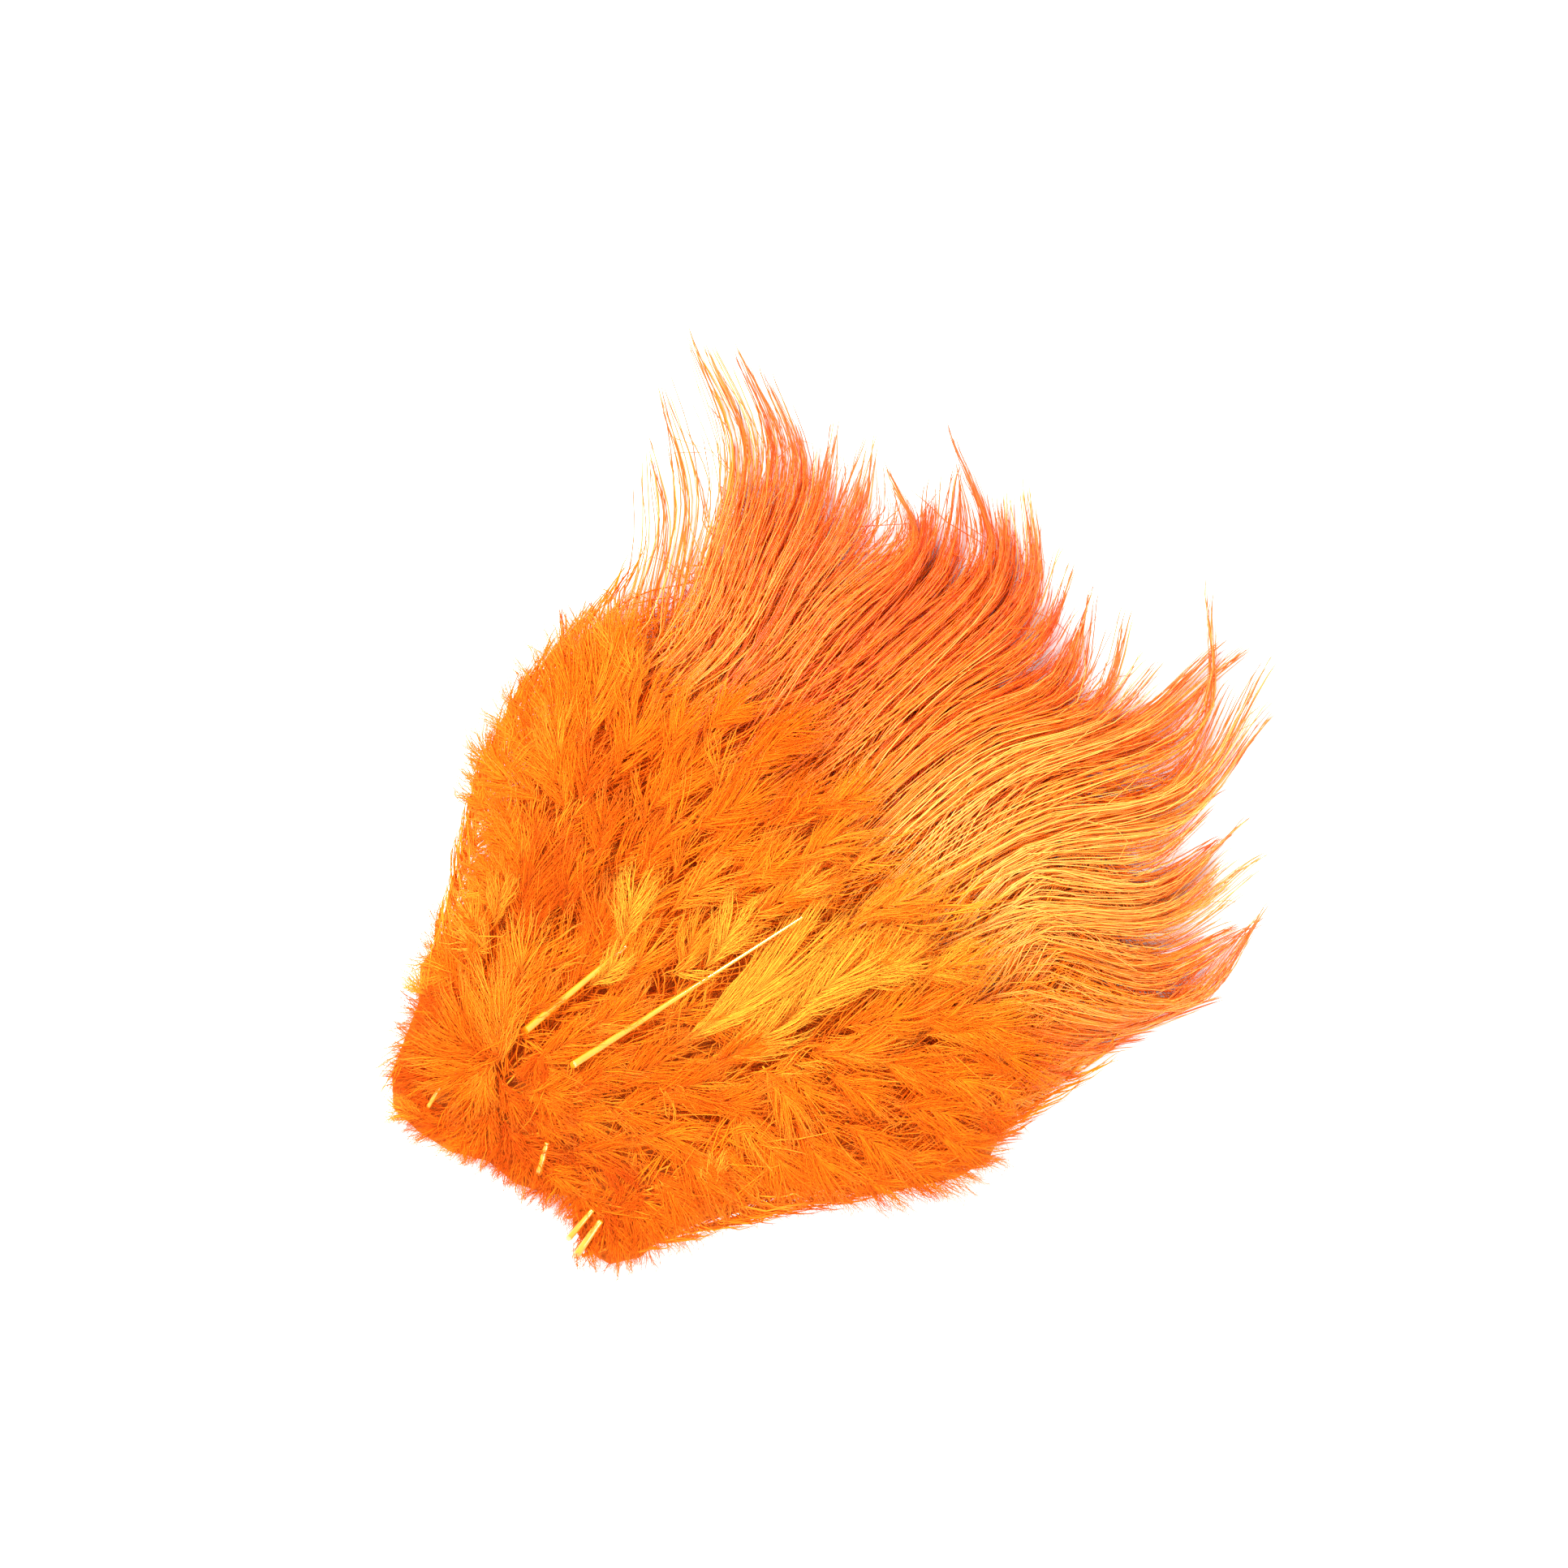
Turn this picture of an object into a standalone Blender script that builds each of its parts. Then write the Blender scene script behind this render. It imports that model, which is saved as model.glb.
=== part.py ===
"""Pheasant rump patch: a piece of tanned skin with its feathers on, dyed orange.

The skin lies flat on the surface. Its feathers grow in rows across it and spread like a fan, each row
lying on the rows in front of it as shingles do. Every feather has a bare quill, a downy lower half and
a tip that ends in separate locks of hair-like barbs. Metres, +Z up. +Y runs along the lay, from the cut
back edge towards the feather tips. The origin is under the middle of the patch, on the surface.
"""

import bisect
import math
import random

import bmesh
import bpy
import numpy as np
from mathutils import Vector

# The fan that the feathers spread in. A place in it has a depth, from 0 at the back edge to 1 at the tips,
# and a side, from -1 at the right edge to 1 at the left. Its edges are angles from +Y about its centre
FAN_CENTRE = (0.0108, -0.0898)
EDGE_DEPTHS = [0.0, 0.2, 0.4, 0.7, 1.0]
LEFT_EDGE = [25.0, 30.5, 33.5, 29.0, 31.5]
RIGHT_EDGE = [-38.0, -32.0, -29.5, -23.5, -17.0]
SIDES = [-1.0, -0.5, 0.0, 0.5, 1.0]
BACK_RADII = [0.0425, 0.0340, 0.0285, 0.0255, 0.0300]
TIP_RADII = [0.143, 0.160, 0.153, 0.151, 0.145]

# The rows of feathers, from the back edge forward. Depths are shares of the way from back edge to tips
ROW_COUNTS = [2, 3, 3, 4, 3, 4, 3, 4, 4, 5, 4, 5, 4, 5]
FIRST_ROW_DEPTH = 0.03
LAST_ROW_DEPTH = 0.46
ROW_STEP = (LAST_ROW_DEPTH - FIRST_ROW_DEPTH) / (len(ROW_COUNTS) - 1)
FIRST_HAIRLIKE_ROW = 7
DOWNY_DEPTHS = (0.30, 0.42)
HAIRLIKE_TIPS = (0.83, 1.0)
LENGTH_SPREAD = 0.04
CELL_FILL = 0.96

# Heights
GAP = 0.0003
SKIN_THICKNESS = 0.0010
QUILL_DIAMETER = 0.0009
VANE_THICKNESS = 0.00058
EDGE_THINNING = 0.45
TIP_THINNING = 0.40
PITCH = 0.0013
TIP_PITCH = 0.0008
SIDE_THINNING = 0.28
FRONT_DROP = 0.0010
DROP_FROM = 0.56
DROP_TO = 0.80

# A feather's outline, as shares of its length and of half its width
BARE_QUILL = 0.10
VANE_OUTLINE = [(0.16, 0.42), (0.27, 0.74), (0.42, 0.90), (0.58, 0.98)]
LOCKS = 5
LOCK_ROOT = 0.66
LOCK_MIDDLE = (0.42, 0.62)
LOCK_BULGE_AT = 0.45
LOCK_HALF_WIDTHS = (0.416, 0.365)
NOTCH_SPREAD = (-0.03, 0.05)
TIP_SPREAD = 0.09
TIP_ROUNDNESS = 0.20
TIP_ROUNDING = 1.6

# Where a feather is cut across so that it can bend over the rows below, in depths and up to a share of it
BEND_STEP = 0.14
BENDS = [LAST_ROW_DEPTH + BEND_STEP * step for step in range(-3, 4)]
LAST_BEND = 0.92

# The skin's outline in the fan
SKIN_BACK_DEPTH = 0.0
SKIN_FRONT_DEPTH = 0.50
SKIN_SIDE = 0.93
SKIN_CORNER = 0.12
SKIN_SIDE_POINTS = 6
SKIN_END_POINTS = 9
SKIN_WAVE = 0.008

# Quills that show bare: depth, side and diameter at each end
BARE_QUILLS = {
    "bare_quill_a": ((0.15, 0.02, 0.0012), (0.50, -0.165, 0.0007)),
    "bare_quill_b": ((0.15, 0.305, 0.0012), (0.33, 0.165, 0.0008)),
}
CUT_QUILLS = {
    "cut_quill_a": ((-0.001, -0.905, 0.0014), (0.060, -0.75, 0.0011)),
    "cut_quill_b": ((0.012, -0.765, 0.0013), (0.055, -0.665, 0.0010)),
    "cut_quill_c": ((0.000, -0.510, 0.0013), (0.060, -0.32, 0.0010)),
    "cut_quill_d": ((0.008, 0.43, 0.0011), (0.055, 0.43, 0.0009)),
}
QUILL_SIDES = 6
BARE_QUILL_STEPS = 5
QUILL_LEVELS_CLEAR = 1.3

DOWN_ORANGE = (0.93, 0.30, 0.02, 1.0)
BARB_ORANGE = (0.90, 0.24, 0.02, 1.0)
QUILL_YELLOW = (0.95, 0.52, 0.05, 1.0)
SKIN_TAN = (0.62, 0.30, 0.12, 1.0)


def clear_scene():
    for old in list(bpy.data.objects):
        bpy.data.objects.remove(old)


def material(name, colour, roughness):
    made = bpy.data.materials.new(name)
    made.use_nodes = True
    shader = made.node_tree.nodes["Principled BSDF"]
    shader.inputs["Base Color"].default_value = colour
    shader.inputs["Roughness"].default_value = roughness
    shader.inputs["Metallic"].default_value = 0.0
    return made


def share(value, low, high):
    """How far value lies between low and high, from 0 to 1."""
    return min(1.0, max(0.0, (value - low) / (high - low)))


def curve_at(value, places, heights):
    """A smooth curve through the heights given at some places, read at one value."""
    slopes = np.gradient(heights, places)
    piece = min(max(bisect.bisect_right(places, value) - 1, 0), len(places) - 2)
    width = places[piece + 1] - places[piece]
    t = (value - places[piece]) / width
    near = heights[piece] * (1 + 2 * t) + slopes[piece] * width * t
    far = heights[piece + 1] * (3 - 2 * t) + slopes[piece + 1] * width * (t - 1)
    return float(near * (1 - t) ** 2 + far * t ** 2)


def fan_angle(depth, side):
    left = curve_at(depth, EDGE_DEPTHS, LEFT_EDGE)
    right = curve_at(depth, EDGE_DEPTHS, RIGHT_EDGE)
    return math.radians(right + (left - right) * (side + 1) / 2)


def fan_radius(depth, side):
    back = curve_at(side, SIDES, BACK_RADII)
    tip = curve_at(side, SIDES, TIP_RADII)
    return back + depth * (tip - back)


def plan_point(depth, side):
    """The place on the surface at a depth and a side of the fan."""
    angle = fan_angle(depth, side)
    radius = fan_radius(depth, side)
    return (
        FAN_CENTRE[0] - radius * math.sin(angle),
        FAN_CENTRE[1] + radius * math.cos(angle),
    )


def side_share(side):
    """How thick the stack is at a side, against its middle."""
    return 1 - SIDE_THINNING * side ** 2


def row_depth(row):
    return FIRST_ROW_DEPTH + ROW_STEP * row


def feather_depth(row):
    """How much depth a feather of that row covers: the hair-like ones of the front rows are the longest."""
    if row < FIRST_HAIRLIKE_ROW:
        shortest, longest = DOWNY_DEPTHS
        return shortest + (longest - shortest) * row / (FIRST_HAIRLIKE_ROW - 1)
    nearest, farthest = HAIRLIKE_TIPS
    rows_on = (row - FIRST_HAIRLIKE_ROW) / (len(ROW_COUNTS) - 1 - FIRST_HAIRLIKE_ROW)
    return nearest + (farthest - nearest) * rows_on - row_depth(row)


def height(row, depth, side):
    """Height of the middle of a feather of that row: it lies on every row rooted in front of it."""
    rows_below = min((depth - row_depth(row)) / ROW_STEP, len(ROW_COUNTS) - 1 - row)
    pitch = PITCH + (TIP_PITCH - PITCH) * share(depth, LAST_ROW_DEPTH, 1.0)
    drop = FRONT_DROP * share(depth, DROP_FROM, DROP_TO)
    on_skin = SKIN_THICKNESS + GAP + QUILL_DIAMETER / 2
    return on_skin - drop + rows_below * pitch * side_share(side)


def top_row(depth):
    """The row, whole or between two, whose feathers end at this depth and so lie on top there."""
    tips = [row_depth(row) + feather_depth(row) for row in range(FIRST_HAIRLIKE_ROW)]
    return float(np.interp(depth, tips, range(FIRST_HAIRLIKE_ROW)))


def link(name, mesh, finish):
    made = bpy.data.objects.new(name, mesh)
    made.data.materials.append(finish)
    bpy.context.scene.collection.objects.link(made)
    return made


def mesh_from(name, bm):
    bmesh.ops.recalc_face_normals(bm, faces=bm.faces)
    if bm.calc_volume(signed=True) < 0:
        bmesh.ops.reverse_faces(bm, faces=bm.faces)
    mesh = bpy.data.meshes.new(name)
    bm.to_mesh(mesh)
    bm.free()
    return mesh


def lock_outline(rng):
    """The tip from left to right: notches, and between them locks that bulge and end in a point."""
    points = []
    width = 2 * VANE_OUTLINE[-1][1] / LOCKS
    for lock in range(LOCKS):
        left = -VANE_OUTLINE[-1][1] + lock * width
        middle = left + width * rng.uniform(*LOCK_MIDDLE)
        tip = 1.0 - TIP_ROUNDNESS * abs(middle) ** TIP_ROUNDING - rng.uniform(0.0, TIP_SPREAD)
        bulge_at = LOCK_ROOT + (tip - LOCK_ROOT) * LOCK_BULGE_AT
        points.append((bulge_at, middle - width * LOCK_HALF_WIDTHS[0]))
        points.append((tip, middle))
        points.append((bulge_at, middle + width * LOCK_HALF_WIDTHS[1]))
        if lock < LOCKS - 1:
            points.append((LOCK_ROOT + rng.uniform(*NOTCH_SPREAD), left + width))
    return points


def feather_outline(quill_half, rng):
    """Closed outline, from the quill's end up the left side, over the locks and down the right side."""
    quill = [(0.0, quill_half), (BARE_QUILL, quill_half)]
    left = [(along, -across) for along, across in quill + VANE_OUTLINE]
    right = [(along, across) for along, across in quill + VANE_OUTLINE]
    return left + lock_outline(rng) + right[::-1]


def cut_across(bm, at):
    bmesh.ops.bisect_plane(
        bm,
        geom=bm.verts[:] + bm.edges[:] + bm.faces[:],
        dist=1e-5,
        plane_co=(at, 0, 0),
        plane_no=(1, 0, 0),
    )


def flat_feather(row, span, quill_half, rng):
    """The feather flat and one unit thick, cut across wherever the rows below bend it, and down its middle."""
    bm = bmesh.new()
    outline = feather_outline(quill_half, rng)
    bm.faces.new([bm.verts.new((along, across, 0.0)) for along, across in outline])
    root = row_depth(row)
    for bend in BENDS:
        along = (bend - root) / span
        if BARE_QUILL < along < LAST_BEND:
            cut_across(bm, along)
    bmesh.ops.bisect_plane(
        bm,
        geom=bm.verts[:] + bm.edges[:] + bm.faces[:],
        dist=1e-5,
        plane_co=(0, 0, 0),
        plane_no=(0, 1, 0),
    )
    bmesh.ops.triangulate(bm, faces=bm.faces, quad_method="BEAUTY", ngon_method="BEAUTY")
    grown = bmesh.ops.extrude_face_region(bm, geom=bm.faces[:])
    raised = [item for item in grown["geom"] if isinstance(item, bmesh.types.BMVert)]
    bmesh.ops.translate(bm, verts=raised, vec=(0, 0, 1))
    return bm


def thickness(along, across, side):
    """Thick and round at the quill, thin at the vane's edges and thinner towards the tip."""
    vane = VANE_THICKNESS * (1 - EDGE_THINNING * abs(across)) * (1 - TIP_THINNING * along)
    into_vane = share(along, BARE_QUILL, 2 * BARE_QUILL)
    return (QUILL_DIAMETER + (vane - QUILL_DIAMETER) * into_vane) * side_share(side)


def feather(name, row, middle, half_width, rng, finish):
    """One feather: its flat outline laid along the fan, over the rows below it."""
    root = row_depth(row)
    span = feather_depth(row) * (1 - rng.uniform(0.0, LENGTH_SPREAD))
    turn = fan_angle(root, middle + half_width) - fan_angle(root, middle - half_width)
    quill_half = QUILL_DIAMETER / (turn * fan_radius(root, middle))
    bm = flat_feather(row, span, quill_half, rng)
    for vert in bm.verts:
        along, across, top = vert.co
        depth = root + span * along
        side = middle + half_width * across
        x, y = plan_point(depth, side)
        z = height(row, depth, side) + (top - 0.5) * thickness(along, across, side)
        vert.co = (x, y, z)
    return link(name, mesh_from(name, bm), finish)


def feather_rows(down, barbs):
    """Every row across the fan, with one more or one fewer feather than the next, so that they stagger."""
    rng = random.Random(11)
    for row, count in enumerate(ROW_COUNTS):
        cell = 2.0 / count
        finish = barbs if row >= FIRST_HAIRLIKE_ROW else down
        for column in range(count):
            middle = cell * (column + 0.5) - 1.0
            name = f"feather_{row + 1:02d}{'abcdef'[column]}"
            feather(name, row, middle, cell / 2 * CELL_FILL, rng, finish)


def skin_outline():
    """The hide, cut by hand a little outside the roots, with its corners taken off."""
    ends = np.linspace(SKIN_SIDE - SKIN_CORNER, SKIN_CORNER - SKIN_SIDE, SKIN_END_POINTS)
    sides = np.linspace(SKIN_BACK_DEPTH, SKIN_FRONT_DEPTH, SKIN_SIDE_POINTS)[1:-1]
    back = [(SKIN_BACK_DEPTH + SKIN_WAVE * math.sin(9 * side), side) for side in ends]
    front = [(SKIN_FRONT_DEPTH + SKIN_WAVE * math.cos(7 * side), side) for side in ends[::-1]]
    up_right = [(depth, -SKIN_SIDE) for depth in sides]
    down_left = [(depth, SKIN_SIDE) for depth in sides[::-1]]
    return [plan_point(depth, side) for depth, side in back + up_right + front + down_left]


def skin(finish):
    bm = bmesh.new()
    face = bm.faces.new([bm.verts.new((x, y, 0.0)) for x, y in skin_outline()])
    grown = bmesh.ops.extrude_face_region(bm, geom=[face])
    raised = [item for item in grown["geom"] if isinstance(item, bmesh.types.BMVert)]
    bmesh.ops.translate(bm, verts=raised, vec=(0, 0, SKIN_THICKNESS))
    return link("skin", mesh_from("skin", bm), finish)


def rod(name, stations, finish):
    """A quill as a tapered rod through stations of a centre and a diameter, closed at both ends."""
    bm = bmesh.new()
    rings = []
    way = (stations[-1][0] - stations[0][0]).normalized()
    turn = way.to_track_quat("Z", "Y").to_matrix().to_4x4()
    for centre, diameter in stations:
        ring = bmesh.ops.create_circle(bm, segments=QUILL_SIDES, radius=diameter / 2, matrix=turn)["verts"]
        bmesh.ops.translate(bm, verts=ring, vec=centre)
        rings.append(sorted({edge for vert in ring for edge in vert.link_edges}, key=lambda e: e.index))
    for near, far in zip(rings, rings[1:]):
        bmesh.ops.bridge_loops(bm, edges=near + far)
    bmesh.ops.holes_fill(bm, edges=rings[0] + rings[-1], sides=QUILL_SIDES)
    return link(name, mesh_from(name, bm), finish)


def bare_quill(name, near, far, finish):
    """A quill that lies bare and straight on top of the stack."""
    start = Vector(plan_point(near[0], near[1]))
    end = Vector(plan_point(far[0], far[1]))
    stations = []
    for step in range(BARE_QUILL_STEPS + 1):
        at = step / BARE_QUILL_STEPS
        depth, side, diameter = (a + (b - a) * at for a, b in zip(near, far))
        level = height(top_row(depth) - QUILL_LEVELS_CLEAR, depth, side)
        stations.append((Vector((*start.lerp(end, at), level)), diameter))
    return rod(name, stations, finish)


def cut_quill(name, near, far, finish):
    """A quill cut short, lying on the skin at the back edge."""
    stations = []
    for depth, side, diameter in (near, far):
        level = SKIN_THICKNESS + GAP + near[2] / 2
        stations.append((Vector((*plan_point(depth, side), level)), diameter))
    return rod(name, stations, finish)


def main():
    clear_scene()
    down = material("down", DOWN_ORANGE, 0.8)
    barbs = material("hairlike_barbs", BARB_ORANGE, 0.5)
    quill = material("quill", QUILL_YELLOW, 0.35)
    hide = material("skin", SKIN_TAN, 0.7)
    skin(hide)
    feather_rows(down, barbs)
    for name, (near, far) in BARE_QUILLS.items():
        bare_quill(name, near, far, quill)
    for name, (near, far) in CUT_QUILLS.items():
        cut_quill(name, near, far, quill)


main()
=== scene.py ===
"""A dyed pheasant rump patch, seen from straight above on a pale floor.

Each solid feather of the model is replaced by the real feathers that grow in its place, made barb by barb:
a shaft, downy barbs with their barbules, and on the front rows the long hair-like barbs, which follow the
locks of the photograph. Tufts of down and glossy quills lie on top, where the photograph shows them.
"""

import math

import bmesh
import bpy
import numpy as np
from mathutils import Matrix, Vector

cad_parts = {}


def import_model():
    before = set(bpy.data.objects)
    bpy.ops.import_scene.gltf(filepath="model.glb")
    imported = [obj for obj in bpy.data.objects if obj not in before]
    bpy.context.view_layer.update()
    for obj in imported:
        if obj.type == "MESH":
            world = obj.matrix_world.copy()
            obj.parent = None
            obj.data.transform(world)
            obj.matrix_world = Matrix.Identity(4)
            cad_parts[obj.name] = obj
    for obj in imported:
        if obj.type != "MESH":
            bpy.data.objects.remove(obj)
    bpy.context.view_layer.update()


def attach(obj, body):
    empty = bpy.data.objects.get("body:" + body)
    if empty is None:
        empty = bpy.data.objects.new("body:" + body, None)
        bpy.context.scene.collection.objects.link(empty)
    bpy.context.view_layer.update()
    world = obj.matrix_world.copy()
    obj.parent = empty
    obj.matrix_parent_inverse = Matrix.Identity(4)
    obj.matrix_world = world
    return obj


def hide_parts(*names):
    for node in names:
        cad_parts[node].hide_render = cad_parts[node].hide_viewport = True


MM = 0.001

# The fan that the feathers spread in, as the solids have it. A place in it has a depth, from 0 at the back
# edge to 1 at the tips, and a side, from -1 at the right edge to 1 at the left
FAN_CENTRE = (0.0108, -0.0898)
EDGE_DEPTHS = [0.0, 0.2, 0.4, 0.7, 1.0]
LEFT_EDGE = [25.0, 30.5, 33.5, 29.0, 31.5]
RIGHT_EDGE = [-38.0, -32.0, -29.5, -23.5, -17.0]
SIDES = [-1.0, -0.5, 0.0, 0.5, 1.0]
BACK_RADII = [0.0425, 0.0340, 0.0285, 0.0255, 0.0300]
TIP_RADII = [0.143, 0.160, 0.153, 0.151, 0.145]
LOCATE_ROUNDS = 6
DEPTH_RANGE = (-0.4, 1.4)
SIDE_RANGE = (-1.6, 1.6)

# The rows, as the solids have them
ROW_COUNTS = [2, 3, 3, 4, 3, 4, 3, 4, 4, 5, 4, 5, 4, 5]
LAST_ROW = len(ROW_COUNTS) - 1
FIRST_ROW_DEPTH = 0.03
LAST_ROW_DEPTH = 0.46
ROW_STEP = (LAST_ROW_DEPTH - FIRST_ROW_DEPTH) / LAST_ROW
FIRST_HAIRLIKE_ROW = 7
DOWNY_DEPTHS = (0.30, 0.42)
HAIRLIKE_TIPS = (0.83, 1.0)
SKIN_THICKNESS = 0.0010
QUILL_DIAMETER = 0.0009
GAP = 0.0003
PITCH = 0.0013
TIP_PITCH = 0.0008
SIDE_THINNING = 0.28
FRONT_DROP = 0.0010
DROP_FROM = 0.56
DROP_TO = 0.80

# Past its sides and behind its back edge the pile falls away by this share of its height
FALL = 0.85
FALL_FROM_SIDE, FALL_TO_SIDE = 0.9, 1.25
FALL_BEHIND = 0.08

# The photograph's frame
PHOTO_SIDE = 1932
PIXEL = 0.11 * MM
FAN_CENTRE_PIXEL = (330, 1560)
PHOTO_TURN = math.radians(55.0)
LENS_MM = 100.0
SENSOR_MM = 36.0
MIDDLE_HEIGHT = 0.006

# Real feathers: several grow in the place of each solid one
DOWNY_SPACING_MM = 8.0
DOWNY_HALF_MM = 6.5
HAIRLIKE_SPACING_MM = 9.0
HAIRLIKE_HALF_MM = 8.5
ROW_BARBS = 23
UNDER_BARBS = 15
FEWEST_HAIRS = 14
MOST_HAIRS = 54

# The front feathers at the far left are shorter than the others
SHORTER_FROM, SHORTER_TO = 0.5, 0.95
SHORTER_BY = 0.24

# Past this side the row feathers spill over the edge of the pile by only a share of their width
SPILL_FROM = 0.92
SPILL = 0.3

# Half widths and lengths of barbs, and the lowest that one lies, in millimetres
HAIR_HALF_WIDTH = 0.095
STRAY_HALF_WIDTH = 0.1
ROW_DOWN_HALF_WIDTH = 0.13
TUFT_DOWN_HALF_WIDTH = 0.065
BARBULE_HALF_WIDTH = 0.03
BARBULE_LENGTH = 1.2
LIFT_OFF_FLOOR = 0.25

# Blades: how many rings each is cut into, how much of its width is left at its tip, how flat it is, and how
# its width varies
HAIR_RINGS = 8
STRAY_RINGS = 12
DOWN_RINGS = 4
SHAFT_RINGS = 6
HAIR_TIP_SHARE = 0.55
STRAY_TIP_SHARE = 0.75
DOWN_TIP_SHARE = 0.35
FLATNESS = 0.6
BLADE_WIDTHS = (0.75, 1.2)

# Every barb waves to the side and lifts off what it lies on by its own share
WAVE_TURNS = (0.6, 1.6)
WAVE_SHARES = (0.4, 1.0)
LIFT_SHARES = (-0.5, 1.0)

# Barbules: where they start along a barb, how much of it they stand on, and how far each spreads, rises and
# reaches
BARBULES_FROM = 0.15
BARBULES_OVER = 0.83
BARBULE_SPREADS = (0.4, 1.0)
BARBULE_RISES = (-0.3, 0.45)
BARBULE_REACHES = (0.6, 1.2)
ROW_BARBULES = 3

# Hair-like barbs: the stretch of the shaft that they leave, how far they are drawn into the nearest lock, the
# share of them that cross to other locks, how far they drift, in locks, and how much sooner they end between
# two locks
HAIRED_STRETCH = 0.26
DRAWN_IN = 0.8
CROSSING = 0.18
DRIFT = 0.24
CROSSING_DRIFT = 1.6
NOTCH = 0.45
STRAYS_PER_LOCK = 14

# The locks of hair-like barbs, from the left of the photograph to its right: where each leaves the down, two
# places that it passes, where it ends, all as pixels, and how much of its length is dense
LOCKS = [
    ((700, 890), (690, 830), (692, 790), (688, 750), 0.90),
    ((740, 870), (735, 805), (735, 770), (728, 740), 0.90),
    ((790, 880), (782, 760), (808, 650), (797, 540), 0.22),
    ((815, 880), (830, 740), (848, 620), (814, 478), 0.25),
    ((830, 870), (868, 700), (902, 560), (850, 415), 0.48),
    ((845, 870), (890, 700), (918, 540), (872, 430), 0.56),
    ((860, 870), (915, 700), (952, 540), (907, 430), 0.62),
    ((880, 870), (940, 710), (990, 570), (948, 460), 0.64),
    ((895, 880), (960, 730), (1010, 620), (1027, 522), 0.84),
    ((905, 890), (985, 740), (1050, 640), (1078, 538), 0.88),
    ((920, 900), (1020, 760), (1130, 650), (1092, 580), 0.94),
    ((935, 905), (1050, 780), (1135, 680), (1150, 595), 0.92),
    ((950, 910), (1080, 790), (1170, 690), (1186, 580), 0.86),
    ((970, 920), (1110, 800), (1222, 680), (1170, 533), 0.76),
    ((1000, 930), (1140, 820), (1240, 700), (1240, 605), 0.92),
    ((1020, 940), (1160, 840), (1275, 720), (1268, 600), 0.88),
    ((1040, 950), (1170, 860), (1295, 770), (1322, 700), 0.94),
    ((1060, 960), (1190, 880), (1300, 830), (1330, 780), 0.97),
    ((1080, 965), (1200, 900), (1310, 850), (1346, 727), 0.74),
    ((1100, 970), (1230, 905), (1360, 860), (1390, 755), 0.80),
    ((1110, 980), (1240, 925), (1370, 880), (1425, 820), 0.88),
    ((1125, 990), (1260, 940), (1400, 890), (1510, 790), 0.68),
    ((1140, 1000), (1280, 950), (1420, 900), (1540, 803), 0.64),
    ((1150, 1010), (1310, 970), (1495, 880), (1490, 728), 0.58),
    ((1160, 1020), (1310, 1000), (1440, 970), (1512, 850), 0.70),
    ((1170, 1030), (1320, 1010), (1470, 970), (1567, 810), 0.60),
    ((1175, 1040), (1320, 1030), (1460, 1010), (1570, 880), 0.64),
    ((1180, 1060), (1320, 1060), (1430, 1050), (1490, 1000), 0.90),
    ((1180, 1075), (1320, 1080), (1420, 1090), (1500, 1040), 0.85),
    ((1185, 1090), (1320, 1100), (1440, 1095), (1535, 1012), 0.75),
    ((1185, 1100), (1320, 1120), (1440, 1120), (1510, 1065), 0.85),
    ((1185, 1110), (1320, 1140), (1440, 1140), (1560, 1055), 0.68),
    ((1190, 1125), (1310, 1160), (1420, 1185), (1520, 1145), 0.82),
    ((1190, 1140), (1310, 1180), (1430, 1210), (1548, 1145), 0.78),
    ((1190, 1160), (1310, 1215), (1480, 1238), (1568, 1115), 0.84),
    ((1180, 1190), (1290, 1240), (1395, 1260), (1480, 1200), 0.84),
    ((1165, 1215), (1280, 1260), (1380, 1275), (1500, 1235), 0.66),
    ((1150, 1240), (1240, 1280), (1330, 1300), (1400, 1287), 0.88),
    ((1130, 1265), (1200, 1300), (1270, 1320), (1335, 1325), 0.90),
    ((1100, 1300), (1160, 1350), (1220, 1375), (1275, 1365), 0.90),
    ((1060, 1340), (1120, 1390), (1180, 1410), (1255, 1402), 0.90),
    ((1020, 1380), (1090, 1420), (1150, 1440), (1235, 1430), 0.90),
]
LOCK_STEPS = 25
LOCKS_ACROSS_FEATHER = 2.4

# Hairs thin out to nothing before they end, so the locks run on past the places above by this share
OVERRUN = 1.06

# The locks at the far left are sparse: only a share of their hairs is there
FULL_FROM_LOCK = 6.0
FEWEST_KEPT = 0.12

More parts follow.
